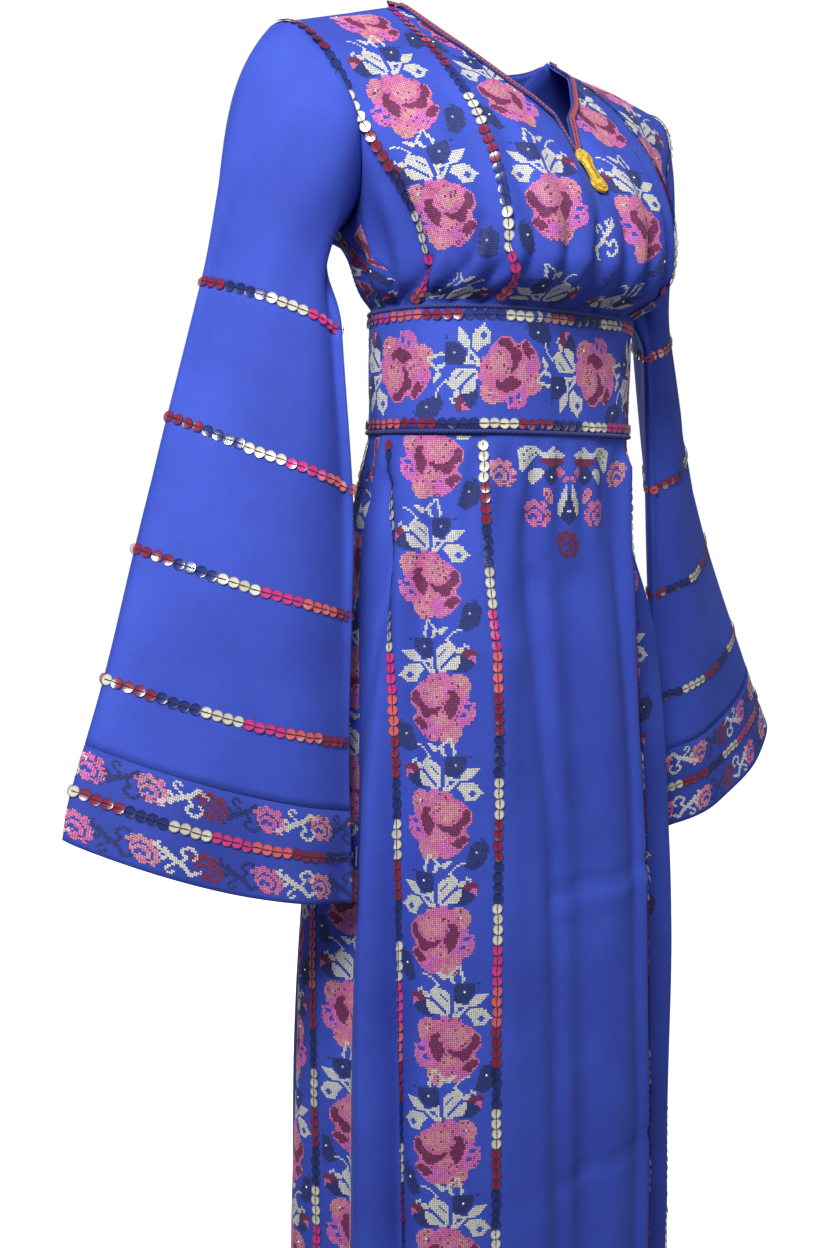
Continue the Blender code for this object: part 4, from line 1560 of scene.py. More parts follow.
@dataclass(frozen=True)
class Crepe:
    """Matte crepe: a fine pebbled weave with a faint cross grain."""

    name: str
    face: Colour
    deep: Colour
    grain: float = 0.00022

    def make(self) -> Finish:
        """Makes the material.

        Returns:
            The material.
        """
        recipe = Recipe(bpy.data.materials.new(self.name))
        spot = recipe.spot()
        pebble = recipe.noise(spot, 1150.0, 3.0)
        slub = recipe.noise(recipe.stretched(spot, (1.0, 1.0, 0.08)), 520.0, 2.0)
        cloud = recipe.noise(spot, 9.0, 3.0)
        shade = recipe.mix((cloud * 0.8 + slub * 0.15 + pebble * 0.5 - 0.3).between(0.1, 0.8),
                           self.deep, self.face)
        height = pebble * 0.85 + slub * 0.15
        return recipe.surface({
            "Base Color": shade, "Roughness": cloud * 0.1 + 0.76,
            "Normal": recipe.bump(height, 0.55, self.grain),
            "Sheen Weight": 0.16, "Sheen Roughness": 0.45, "Sheen Tint": (0.20, 0.30, 0.95, 1.0),
            "Specular IOR Level": 0.28,
        })


@dataclass(frozen=True)
class ThreadWork:
    """Cross-stitched cotton thread, with both arms of each cross standing up and painted shade in the
    notches between the arms.
    """

    name: str = "stitched_thread"

    def make(self) -> Finish:
        """Makes the material.

        Returns:
            The material.
        """
        recipe = Recipe(bpy.data.materials.new(self.name))
        # The thread colour attribute carries each stitch's painted corner shade and painted crown
        # highlight
        dye = recipe.marked("thread_colour", "Color")
        across, down, _ = recipe.parts(recipe.marked("stitch", "Vector"))
        arms = 1.0 - abs(abs(across) - abs(down)).between(0.10, 0.62)
        twist = ((across + down) * 26.0).sine() * 0.5 + 0.5
        # Painted shade: the thread colour darkened in the notches between the arms of each cross
        painted_notch_shade = recipe.mix(arms * 0.55 + 0.45, (0.42, 0.42, 0.47, 1.0), (1.0, 1.0, 1.0, 1.0))
        return recipe.surface({
            "Base Color": recipe.mix(1.0, dye, painted_notch_shade, "MULTIPLY"),
            "Roughness": 0.62,
            "Normal": recipe.bump(arms * 0.8 + twist * 0.2, 0.5, 0.0003),
            "Sheen Weight": 0.2, "Sheen Roughness": 0.4,
        })


@dataclass(frozen=True)
class SequinFilm:
    """Thin clear film, darker at the rim."""

    name: str = "sequin_film"

    def make(self) -> Finish:
        """Makes the material.

        Returns:
            The material.
        """
        recipe = Recipe(bpy.data.materials.new(self.name))
        film = recipe.marked("thread_colour", "Color")
        strength = recipe.marked("thread_colour", "Alpha")
        edge, _, _ = recipe.parts(recipe.marked("stitch", "Vector"))
        rim = edge.between(0.78, 0.95)
        return recipe.surface({
            "Base Color": recipe.mix(rim * 0.68, film, (0.02, 0.02, 0.05, 1.0)),
            "Roughness": recipe.noise(recipe.spot(), 90.0) * 0.14 + 0.16,
            "Alpha": strength + (1.0 - strength) * rim * 0.9,
            "Specular IOR Level": 0.7, "Coat Weight": 0.4, "Coat Roughness": 0.08,
        })


@dataclass(frozen=True)
class Cord:
    """Twisted cord: strands that wind round it, with painted shade in the grooves between them."""

    name: str
    face: Colour
    # deep is the painted shade in the grooves between the strands
    deep: Colour
    pitch: float = 0.004
    strands: float = 2.0

    def make(self) -> Finish:
        """Makes the material.

        Returns:
            The material.
        """
        recipe = Recipe(bpy.data.materials.new(self.name))
        turn, run, _ = recipe.parts(recipe.marked("stitch", "Vector"))
        wind = (turn * self.strands + run * (2 * math.pi / self.pitch)).sine() * 0.5 + 0.5
        lint = recipe.noise(recipe.spot(), 1400.0)
        # Painted shade: the deep colour where the winding runs low, in the grooves between strands
        return recipe.surface({
            "Base Color": recipe.mix(wind * 0.8 + lint * 0.2, self.deep, self.face),
            "Roughness": 0.62 + lint * 0.15,
            "Normal": recipe.bump(wind + lint * 0.15, 0.7, 0.0005),
            "Sheen Weight": 0.15,
        })


@dataclass(frozen=True)
class Gilt:
    """Gilded metal, a little worn."""

    name: str = "gilt_metal"
    face: Colour = screen(250, 224, 92)
    deep: Colour = screen(214, 168, 44)

    def make(self) -> Finish:
        """Makes the material.

        Returns:
            The material.
        """
        recipe = Recipe(bpy.data.materials.new(self.name))
        spot = recipe.spot()
        wear = recipe.noise(spot, 260.0, 4.0)
        hammer = recipe.noise(spot, 620.0, 1.0)
        return recipe.surface({
            "Base Color": recipe.mix(wear.between(0.35, 0.7), self.deep, self.face),
            "Metallic": 0.55, "Roughness": wear * 0.25 + 0.36,
            "Normal": recipe.bump(hammer, 0.35, 0.0003),
        })


@dataclass(frozen=True)
class Glass:
    """Small cut stones, foiled behind."""

    name: str = "cut_crystal"

    def make(self) -> Finish:
        """Makes the material.

        Returns:
            The material.
        """
        recipe = Recipe(bpy.data.materials.new(self.name))
        tint = recipe.noise(recipe.spot(), 700.0)
        return recipe.surface({
            "Base Color": recipe.mix(tint.between(0.35, 0.65), (0.62, 0.68, 0.82, 1.0),
                                     (0.97, 0.98, 1.0, 1.0)),
            "Metallic": 0.55, "Roughness": tint * 0.08 + 0.05,
            "Coat Weight": 1.0, "Coat Roughness": 0.03,
        })


@dataclass(frozen=True)
class PaleFloor:
    """A plain pale studio floor."""

    name: str = "pale_floor"

    def make(self) -> Finish:
        """Makes the material.

        Returns:
            The material.
        """
        recipe = Recipe(bpy.data.materials.new(self.name))
        cloud = recipe.noise(recipe.spot(), 2.0)
        return recipe.surface({
            "Base Color": recipe.mix(cloud, (0.93, 0.93, 0.93, 1.0), (0.96, 0.96, 0.96, 1.0)),
            "Roughness": 0.85, "Emission Color": (1.0, 1.0, 1.0, 1.0), "Emission Strength": 0.85,
        })


class Canvas:
    """Counted cross-stitches by row and column."""

    def __init__(self) -> None:
        """Starts empty."""
        self.cells: dict[tuple[int, int], str] = {}
        self.stones: set[tuple[int, int]] = set()

    def lay(
        self, chart: Sequence[str], row: int, column: int, mirrored: bool = False,
        upended: bool = False, dye: str = "C",
    ) -> None:
        """Counts a chart onto the canvas.

        Args:
            chart: Its rows of letters; F takes the dye, X holds a stone.
            row: The canvas row of its first row.
            column: The canvas column of its first column.
            mirrored: Whether left and right change places.
            upended: Whether top and bottom change places.
            dye: The thread for the letter F.
        """
        rows = chart[::-1] if upended else chart
        for r, line in enumerate(rows):
            letters = line[::-1] if mirrored else line
            for c, letter in enumerate(letters):
                if letter == ".":
                    continue
                cell = (row + r, column + c)
                if letter == "X":
                    self.stones.add(cell)
                    letter = next((k for k in letters[c + 1:] + letters[:c] if k not in ".X"), "N")
                self.cells[cell] = dye if letter == "F" else letter

    def turned(self) -> "Canvas":
        """The same work with its rows and columns exchanged.

        Returns:
            The turned work.
        """
        other = Canvas()
        other.cells = {(c, r): letter for (r, c), letter in self.cells.items()}
        other.stones = {(c, r) for r, c in self.stones}
        return other


def widened(chart: Sequence[str], columns: int) -> list[str]:
    """A chart counted over more columns.

    Args:
        chart: Its rows of letters.
        columns: How many columns it is to have.

    Returns:
        The wider chart.
    """
    return ["".join(line[c * len(line) // columns] for c in range(columns)) for line in chart]


def rose_border(roses: Sequence[tuple[float, float, bool]]) -> Canvas:
    """A border of roses, each with its sprig above and its navy leaf beside.

    Args:
        roses: For each rose the length down and across to its middle, and whether it is
            turned about.

    Returns:
        The work, counted from where both lengths are nought.
    """
    canvas = Canvas()
    half = len(ROSE) / 2
    for down, across, mirrored in roses:
        row = round(down / STITCH - half)
        column = round(across / STITCH_WIDTH - half)
        canvas.lay(SPRIG, row - 25, column - (6 if mirrored else 3), mirrored=not mirrored)
        canvas.lay(NAVY_LEAF, row + 24, column + (-9 if mirrored else 31), mirrored=mirrored)
        canvas.lay(ROSE, row, column, mirrored=mirrored)
    return canvas


def even_roses(count: int, first: float, mirrored: bool = False) -> list[tuple[float, float, bool]]:
    """Roses at even steps that face left and right in turn.

    Args:
        count: How many.
        first: The length down to the first one's middle.
        mirrored: Whether the first is turned about.

    Returns:
        Their places.
    """
    sway = 1.5 * STITCH_WIDTH
    return [
        (first + n * BAND_REPEAT * STITCH, sway if (n % 2 == 1) != mirrored else -sway,
         (n % 2 == 1) != mirrored)
        for n in range(count)
    ]


@dataclass
class Sewing:
    """Cross-stitches worked onto stretches of cloth, and the stones sewn among them."""

    name: str
    seed: int
    pile: MeshPile = field(init=False)
    stones: list[Stone] = field(default_factory=list)

    def __post_init__(self) -> None:
        """Starts the pile and the hand's small unevenness."""
        self.pile = MeshPile(self.name)
        self.hand = np.random.default_rng(self.seed)

    def work(
        self, canvas: Canvas, surface: Mapped, down: float, across: float,
        span: tuple[float, float] = (-1e9, 1e9), size: float = STITCH,
        size_across: float = STITCH_WIDTH,
    ) -> None:
        """Works a canvas onto cloth.

        Args:
            canvas: The counted stitches.
            surface: The cloth.
            down: Length down to the canvas's first row.
            across: Length across to its first column.
            span: The lengths down between which stitches are worked.
            size: A stitch's height.
            size_across: A stitch's width.
        """
        keys = np.array(list(canvas.cells.keys()))
        letters = np.array(list(canvas.cells.values()))
        mixed = np.isin(letters, list("PMC")) & (self.hand.random(len(letters)) < MIXED_SHARE)
        letters[mixed] = self.hand.choice(
            list(MIXED_THREADS), mixed.sum(), p=list(MIXED_THREADS.values())
        )
        dyes = np.array([Thread(str(k)).colour for k in letters])
        s = down + (keys[:, 0] + 0.5) * size
        t = across + (keys[:, 1] + 0.5) * size_across
        inside = surface.read(s, t)[3] & (s > span[0]) & (s < span[1])
        s, t, dyes, keys = s[inside], t[inside], dyes[inside], keys[inside]
        if not len(s):
            return
        wide = size_across * STITCH_HALF * (1 + 0.05 * self.hand.standard_normal(len(s)))
        tall = size * STITCH_HALF * (1 + 0.05 * self.hand.standard_normal(len(s)))
        corners = []
        for a, b in ((-1, -1), (1, -1), (1, 1), (-1, 1)):
            at, _, out, _ = surface.read(s + b * tall, t + a * wide)
            corners.append(at + out * STITCH_LOW)
        at, right, out, _ = surface.read(s, t)
        high = STITCH_HIGH * (1 + 0.15 * self.hand.standard_normal(len(s)))
        corners.append(at + out * high[:, None])
        points = np.stack(corners, axis=1).reshape(-1, 3)
        face = np.array(((0, 3, 4), (3, 2, 4), (2, 1, 4), (1, 0, 4)))
        if surface.flipped:
            face = face[:, ::-1]
        faces = (face[None] + np.arange(len(s))[:, None, None] * 5).reshape(-1, 3)
        fade = 1 + 0.11 * self.hand.standard_normal(len(s))
        dyes = dyes * np.stack([fade, fade, fade, np.ones(len(s))], -1)
        place = np.array(((-1, -1, 0), (1, -1, 0), (1, 1, 0), (-1, 1, 0), (0, 0, 1.0)))
        # Painted shade at each stitch's low corners and a painted highlight at its crown, multiplied into
        # the thread colour
        dyes_with_painted_light = np.repeat(np.clip(dyes, 0, 1), 5, 0)
        dyes_with_painted_light[:, :3] *= np.tile(np.array(STITCH_PAINTED_LIGHT), len(s))[:, None]
        self.pile.add(points, faces, np.clip(dyes_with_painted_light, 0, 1), np.tile(place, (len(s), 1)))
        for n, key in enumerate(map(tuple, keys)):
            if key in canvas.stones:
                self.stones.append((at[n], right[n], out[n]))

    def made(self, finish: Finish) -> Optional[bpy.types.Object]:
        """Makes the object."""
        return self.pile.made(finish, smooth=False)


FILMS = {
    "W": (*screen(216, 211, 192)[:3], 0.90),
    "R": (*screen(140, 30, 58)[:3], 0.84),
    "N": (*screen(18, 22, 58)[:3], 0.42),
    "P": (*screen(212, 54, 132)[:3], 0.88),
    "C": (*screen(222, 98, 104)[:3], 0.88),
}
FILM_ORDER = "WRNWPCRN"


@dataclass
class SequinRows:
    """Flat sequins sewn down in rows by a thread along the row's middle."""

    radius: float = SEQUIN_RADIUS
    pitch: float = SEQUIN_PITCH
    in_colour: int = 4
    corners: int = 16
    thread: float = 0.00038
    clear: float = 0.0010
    discs: MeshPile = field(default_factory=lambda: MeshPile("sequins"))
    threads: MeshPile = field(default_factory=lambda: MeshPile("sequin_thread"))
    hand: np.random.Generator = field(default_factory=lambda: np.random.default_rng(11))

    def disc(self) -> tuple[Array, Array, Array]:
        """One sequin's corners, faces and edge marks.

        Returns:
            The three, one row each.
        """
        turn = even_turns(self.corners)
        rings = ((0.13, -0.00005), (0.62, 0.0), (0.90, 0.00022), (1.0, 0.00030))
        points = np.concatenate([
            np.stack([r * self.radius * np.cos(turn), r * self.radius * np.sin(turn),
                      np.full_like(turn, z)], -1) for r, z in rings
        ])
        marks = np.repeat([r for r, _ in rings], self.corners)
        place = np.stack([marks, 0 * marks, 0 * marks], -1)
        return points, grid_faces(len(rings), self.corners, True), place

    def lay(self, line: Array, out: Array, first: int) -> None:
        """Sews a row.

        Args:
            line: Points along the row.
            out: Outward directions there.
            first: The sequin of the colour order with which the row starts.
        """
        run = along(line)
        count = max(2, int(run[-1] / self.pitch))
        at = (np.arange(count) + 0.5) * run[-1] / count
        spot, up = read_line(at, run, line), unit(read_line(at, run, out))
        ahead = unit(np.gradient(spot, axis=0))
        up = squared(up, ahead)
        beside = np.cross(up, ahead)
        pitch_angle = np.radians(-5.5 + 2.5 * self.hand.standard_normal(count))[:, None]
        roll = np.radians(3.5 * self.hand.standard_normal(count))[:, None]
        tipped = unit(up * np.cos(pitch_angle) + ahead * np.sin(pitch_angle))
        tipped = unit(tipped + beside * np.tan(roll))
        ahead_t = squared(ahead, tipped)
        axes = np.stack([ahead_t, np.cross(tipped, ahead_t), tipped], 1)
        letters = [
            FILM_ORDER[((first + n) // self.in_colour) % len(FILM_ORDER)] for n in range(count)
        ]
        colours = np.array([FILMS[k] for k in letters])
        fade = 1 + 0.06 * self.hand.standard_normal((count, 1))
        colours = np.concatenate([np.clip(colours[:, :3] * fade, 0, 1), colours[:, 3:]], 1)
        shape, faces, place = self.disc()
        jig = 0.0004 * self.hand.standard_normal((count, 1))
        centres = spot + up * self.clear + beside * jig
        self.discs.add_copies(shape, faces, place, centres, axes, colours)
        middle = np.repeat(centres, 2, 0)
        middle[0::2] += up * 0.00075 - ahead * self.pitch * 0.25
        middle[1::2] += up * 0.00075 + ahead * self.pitch * 0.25
        tube, tube_faces, marks = tube_along(middle, np.repeat(up, 2, 0), self.thread, 5, False)
        dye = np.tile(np.array(screen(30, 30, 66)), (len(tube), 1))
        self.threads.add(tube, tube_faces, dye, marks)

    def made(self, film: Finish, cotton: Finish) -> None:
        """Makes both objects."""
        self.discs.made(film, smooth=True)
        self.threads.made(cotton, smooth=True)


def edge_of(piece: Cloth, column: int, top: float, bottom: float) -> tuple[Array, Array]:
    """A column of a piece between two heights, with its outward directions.

    Args:
        piece: The piece.
        column: The column.
        top: The upper height.
        bottom: The lower height.

    Returns:
        Points and directions.
    """
    line, out = piece.points[:, column], piece.normals()[:, column]
    kept = (line[:, 2] < top) & (line[:, 2] > bottom)
    return line[kept], out[kept]


@dataclass
class StoneSetting:
    """Small cut stones sewn among the stitches."""

    radius: float = 0.0016
    height: float = 0.0011
    sides: int = 8

    def set(self, stones: Sequence[Stone],
            finish: Finish) -> None:
        """Sets the stones.

        Args:
            stones: Each one's place, its way across and its way out.
            finish: Their material.
        """
        turn = even_turns(self.sides)
        rings = ((1.0, 0.0), (0.95, 0.45), (0.52, 1.0))
        shape = np.concatenate([
            np.stack([r * self.radius * np.cos(turn), r * self.radius * np.sin(turn),
                      np.full_like(turn, h * self.height)], -1) for r, h in rings
        ] + [np.array(((0.0, 0.0, self.height),))])
        sides = grid_faces(3, self.sides, True)[:, ::-1]
        last = 2 * self.sides + np.arange(self.sides)
        top = np.stack([last, 2 * self.sides + (np.arange(self.sides) + 1) % self.sides,
                        np.full(self.sides, 3 * self.sides)], -1)
        at = np.array([s[0] for s in stones])
        right = np.array([s[1] for s in stones])
        out = np.array([s[2] for s in stones])
        axes = np.stack([right, np.cross(out, right), out], 1)
        pile = MeshPile("crystals")
        colours = np.tile(np.array((0.9, 0.93, 1.0, 1.0)), (len(at), 1))
        spots = at + out * STITCH_LOW
        pile.add_copies(shape, sides, np.zeros((len(shape), 3)), spots, axes, colours)
        pile.add_copies(shape, top, np.zeros((len(shape), 3)), spots, axes, colours)
        pile.made(finish, smooth=False)


@dataclass
class Belt:
    """The wide stiffened belt, its roses, sequins and two corded edges."""

    rows: int = 12
    columns: int = 420
    row_inset: float = 0.0055
    rose_around: float = -0.082
    grid: Array = field(init=False)

    def __post_init__(self) -> None:
        """Works out the belt's outer face."""
        high = BELT_TOP_Z - 2 * PIPING_RADIUS - SEAM_GAP
        low = BELT_BOTTOM_Z + 2 * PIPING_RADIUS + SEAM_GAP
        self.heights = np.linspace(high, low, self.rows + 1)
        self.grid = self.face(BELT_REST + BELT_WALL)

    def face(self, clear: float) -> Array:
        """The belt's points that far off the cloth.

        Args:
            clear: How far.

        Returns:
            Rows of points.
        """
        rows = []
        for z in self.heights:
            section = BodySection(z)
            share = np.linspace(-1, 1, self.columns + 1)
            swell = 0.0006 * np.sin(share * 19.0 + z * 60.0) + 0.0004 * np.sin(share * 41.0)
            row = section.points(share * section.half_girth, clear)
            rows.append(row + section.outward(share * section.half_girth) * swell[:, None])
        return np.stack(rows)

    def ring(self, z: float, clear: float) -> tuple[Array, Array]:
        """A level line round the belt, from the centre back over the wearer's right.

        Args:
            z: Its height.
            clear: How far it stands off the cloth.

        Returns:
            Its points and its outward directions.
        """
        section = BodySection(z)
        around = np.linspace(-1, 1, self.columns + 1)[:-1] * section.half_girth
        return section.points(around, clear), section.outward(around)

    def build(self, cloth: Finish, cord: Finish) -> None:
        """Makes the belt and its cords.

        Args:
            cloth: The belt's cloth.
            cord: The cords' finish.
        """
        outer, inner = self.grid[:, :-1], self.face(BELT_REST)[:, :-1]
        band = walled("belt_band", outer, inner, True, cloth)
        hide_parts("belt")
        width = float(np.linalg.norm(np.diff(self.grid, axis=1), axis=-1).sum(1).max())
        for name, z in (("top", BELT_TOP_Z - PIPING_RADIUS), ("bottom", BELT_BOTTOM_Z + PIPING_RADIUS)):
            line, out = self.ring(z, BELT_REST + PIPING_RADIUS)
            points, faces, marks = tube_along(line, out, PIPING_RADIUS, 10, True)
            pile = MeshPile("belt_cord_" + name)
            pile.add(points, faces, np.ones((len(points), 4)), marks)
            made = pile.made(cord, smooth=True)
            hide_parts("belt_piping_" + name)

    def dress(self, sewing: Sewing, sequins: SequinRows) -> None:
        """Works the roses and sews the two rows of sequins.

        Args:
            sewing: The stitches.
            sequins: The sequins.
        """
        surface = Mapped(self.grid, self.columns // 2)
        first = self.rose_around - 5 * BAND_REPEAT * STITCH
        band = rose_border(even_roses(10, first)).turned()
        sewing.work(band, surface, surface.down[-1] / 2, 0.0, size_across=STITCH)
        for z, first in ((self.heights[0] - self.row_inset, 0), (self.heights[-1] + self.row_inset, 2)):
            line, out = self.ring(z, BELT_REST + BELT_WALL)
            sequins.lay(np.concatenate([line, line[:1]]), np.concatenate([out, out[:1]]), first)


@dataclass
class NeckEdging:
    """The edging round the neck and down the slit: a band, two corded edges and a chain."""

    width: float = 0.0085
    laid_on: float = 0.0015
    wall: float = 0.0011
    link_pitch: float = 0.0046
    link_length: float = 0.0066
    link_width: float = 0.0044
    link_thread: float = 0.00062

    def build(
        self, front: Cloth, back: Cloth, form: DressForm, finishes: dict[str, Finish]
    ) -> None:
        """Makes the edging.

        Args:
            front: The front centre.
            back: The back.
            form: The dress form that they were cut from.
            finishes: Materials by name.
        """
        past = form.back_columns[0] + form.back_columns[1]
        neck = slice(past, -past)
        edge = np.concatenate([front.points[0][1:-1], back.points[0][neck][1:-1]])
        out = np.concatenate([front.normals()[0][1:-1], back.normals()[0][neck][1:-1]])
        ahead = unit(np.roll(edge, -1, 0) - np.roll(edge, 1, 0))
        into = unit(np.cross(ahead, out))
        behind = slice(len(front.points[0]) - 2, None)
        into[behind] = unit((back.points[1] - back.points[0])[neck][1:-1])
        shares = np.linspace(0, 1, 4)
        base = np.stack([edge + into * self.width * k for k in shares])
        outer = base + out[None] * (self.laid_on + self.wall)
        band = walled("neck_edging", outer, base + out[None] * self.laid_on, True, finishes["edging"])
        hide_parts("neck_trim")
        length = float(along(np.concatenate([edge, edge[:1]]))[-1])
        top = self.laid_on + self.wall
        cords = MeshPile("neck_edging_cords")
        for inset, radius in ((0.0011, 0.0009), (self.width - 0.0011, 0.0009)):
            line = edge + into * inset + out * (top + radius * 0.5)
            points, faces, marks = tube_along(line, out, radius, 7, True)
            cords.add(points, faces, np.ones((len(points), 4)), marks)
        cords.made(finishes["navy_cord"], smooth=True)
        self.chain(edge + into * self.width / 2 + out * top, out, finishes["chain"])
        LOG.info("neck edging: %.0f mm round", length * 1000)

    def chain(self, line: Array, out: Array, finish: Finish) -> None:
        """Sews the chain of loops along a line.

        Args:
            line: The points that it follows.
            out: Outward directions there.
            finish: Its thread.
        """
        line = np.concatenate([line, line[:1]])
        out = np.concatenate([out, out[:1]])
        run = along(line)
        count = int(run[-1] / self.link_pitch)
        at = (np.arange(count) + 0.5) * run[-1] / count
        spot, up = read_line(at, run, line), unit(read_line(at, run, out))
        ahead = unit(np.roll(spot, -1, 0) - np.roll(spot, 1, 0))
        up = squared(up, ahead)
        axes = np.stack([ahead, np.cross(up, ahead), up], 1)
        turn = even_turns(14)
        loop = np.stack([
            self.link_length / 2 * np.cos(turn), self.link_width / 2 * np.sin(turn),
            self.link_thread * (0.9 + 0.5 * np.cos(turn)),
        ], -1)
        rise = np.tile(np.array((0.0, 0.0, 1.0)), (len(loop), 1))
        shape, faces, marks = tube_along(loop, rise, self.link_thread, 6, True)
        pile = MeshPile("neck_edging_chain")
        pile.add_copies(shape, faces, marks, spot, axes, np.ones((count, 4)))
        pile.made(finish, smooth=True)


@dataclass
class Clasp:
    """The flat clasp of two round domed lobes, edged with beads, at the foot of the slit."""

    lobe: float = 0.0105
    waist: float = 0.0055
    length: float = 0.058
    thick: float = 0.0024
    top: float = -0.170
    rest: float = 0.0005
    dome: float = 0.0026
    bead: float = 0.00115
    bead_ring: float = 0.0028

    def outline(self) -> Array:
        """The clasp's outline, anticlockwise from the top.

        Returns:
            Its points, across and up.
        """
        reach = self.length / 2 - self.lobe
        turns = np.linspace(0, math.radians(140), 22)
        lobe = np.stack([self.lobe * np.sin(turns), reach + self.lobe * np.cos(turns)], -1)
        last = lobe[-1]
        neck = np.linspace(0, 1, 6)[1:, None]
        into = last + (np.array((self.waist, 0.0)) - last) * np.stack(
            [np.sin(neck * math.pi / 2)[:, 0], neck[:, 0]], -1
        )
        quarter = np.concatenate([lobe, into])
        half = np.concatenate([quarter, quarter[-2::-1] * (1, -1)])
        return np.concatenate([half, half[-2:0:-1] * (-1, 1)])[::-1]

    def build(self, front: Cloth, middle: int, edging: NeckEdging, metal: Finish) -> None:
        """Makes the clasp on the centre line.

        Args:
            front: The front centre.
            middle: Its middle column.
            edging: The edging on which the clasp lies.
            metal: Its material.
        """
        line = front.points[:, middle][::-1]
        heights = np.linspace(self.top - self.length, self.top, 9)
        depth = np.interp(heights, line[:, 2], line[:, 1])
        chord = np.linspace(depth[0], depth[-1], 9)
        bulge = max(0.0, float((chord - depth).max()))
        slope = math.atan2(heights[-1] - heights[0], depth[-1] - depth[0])
        clear = edging.laid_on + edging.wall + self.rest + self.thick / 2 + bulge
        out = np.array((0.0, -math.sin(slope), math.cos(slope)))
        centre = np.array((0.0, (depth[0] + depth[-1]) / 2, heights.mean())) + out * clear
        up = np.array((0.0, math.cos(slope), math.sin(slope)))
        axes = np.stack([np.cross(up, out), up, out])
        outline = self.outline()
        reach = self.length / 2 - self.lobe
        spine = np.stack([0 * outline[:, 0], np.clip(outline[:, 1], -reach, reach)], -1)
        rings = [(1.0, -self.thick / 2), (1.0, self.thick / 2 - 0.0004), (0.96, self.thick / 2)]
        rings += [
            (k, self.thick / 2 + self.dome * math.sqrt(1 - (k / 0.9) ** 2))
            for k in (0.88, 0.8, 0.66, 0.48, 0.3, 0.14, 0.04)
        ]
        grid = np.stack([
            np.concatenate([spine + (outline - spine) * k, np.full((len(outline), 1), z)], -1)
            for k, z in rings
        ])
        pile = MeshPile("clasp_plate")
        count = grid.shape[1]
        world = centre + grid.reshape(-1, 3) @ axes
        blank = np.ones((len(world), 4)), np.zeros((len(world), 3))
        pile.add(world, grid_faces(len(rings), count, True)[:, ::-1], *blank)
        caps = [np.arange(count)[::-1], np.arange(count) + (len(rings) - 1) * count]
        for cap in caps:
            middle_point = world[cap].mean(0, keepdims=True)
            fan = np.stack([np.arange(count), np.roll(np.arange(count), -1), np.full(count, count)], -1)
            points = np.concatenate([world[cap], middle_point])
            pile.add(points, fan, np.ones((len(points), 4)), np.zeros((len(points), 3)))
        self.beads(pile, outline, spine, centre, axes)
        made = pile.made(metal, smooth=True)
        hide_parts("clasp")

    def beads(
        self, pile: MeshPile, outline: Array, spine: Array, centre: Array,
        axes: Array,
    ) -> None:
        """Puts beads round the rim, in an inner ring and on each lobe's middle.

        Args:
            pile: The clasp's mesh.
            outline: The outline.
            spine: The middle line's point for each outline point.
            centre: The clasp's middle.
            axes: Its directions across, up and out.
        """
        turn = even_turns(8)
        tilt = np.linspace(-math.pi / 2, math.pi / 2, 6)
        ball = np.stack([
            np.outer(np.cos(tilt), np.cos(turn)), np.outer(np.cos(tilt), np.sin(turn)),
            np.outer(np.sin(tilt), np.ones(8)),
        ], -1).reshape(-1, 3)
        faces = grid_faces(6, 8, True)[:, ::-1]
        for share, size, lift in ((0.93, self.bead, 0.0002), (0.52, self.bead * 0.8, 0.0020)):
            line = spine + (outline - spine) * share
            line = np.concatenate([line, line[:1]])
            run = np.concatenate([[0], np.cumsum(np.linalg.norm(np.diff(line, axis=0), axis=1))])
            count = int(run[-1] / (size * 2.15))
            at = np.arange(count) * run[-1] / count
            spot = np.stack([np.interp(at, run, line[:, 0]), np.interp(at, run, line[:, 1]),
                             np.full(count, self.thick / 2 + lift)], -1)
            self.scatter(pile, ball * size, faces, centre + spot @ axes, axes)
        reach = self.length / 2 - self.lobe
        for y in (-reach, reach):
            ring = np.stack([self.bead_ring * np.cos(turn), y + self.bead_ring * np.sin(turn),
                             np.full(8, self.thick / 2 + self.dome - 0.0001)], -1)
            self.scatter(pile, ball * self.bead * 0.85, faces, centre + ring @ axes, axes)
            boss = np.array(((0.0, y, self.thick / 2 + self.dome),))
            self.scatter(pile, ball * self.bead * 1.7, faces, centre + boss @ axes, axes)

    @staticmethod
    def scatter(
        pile: MeshPile, ball: Array, faces: Array, at: Array, axes: Array
    ) -> None:
        """Puts copies of a bead on the pile.

        Args:
            pile: The clasp's mesh.
            ball: The bead's corners.
            faces: Its faces.
            at: Where each copy lies.
            axes: The clasp's directions.
        """
        pile.add_copies(
            ball, faces, np.zeros((len(ball), 3)), at, np.repeat(axes[None], len(at), 0),
            np.ones((len(at), 4)),
        )


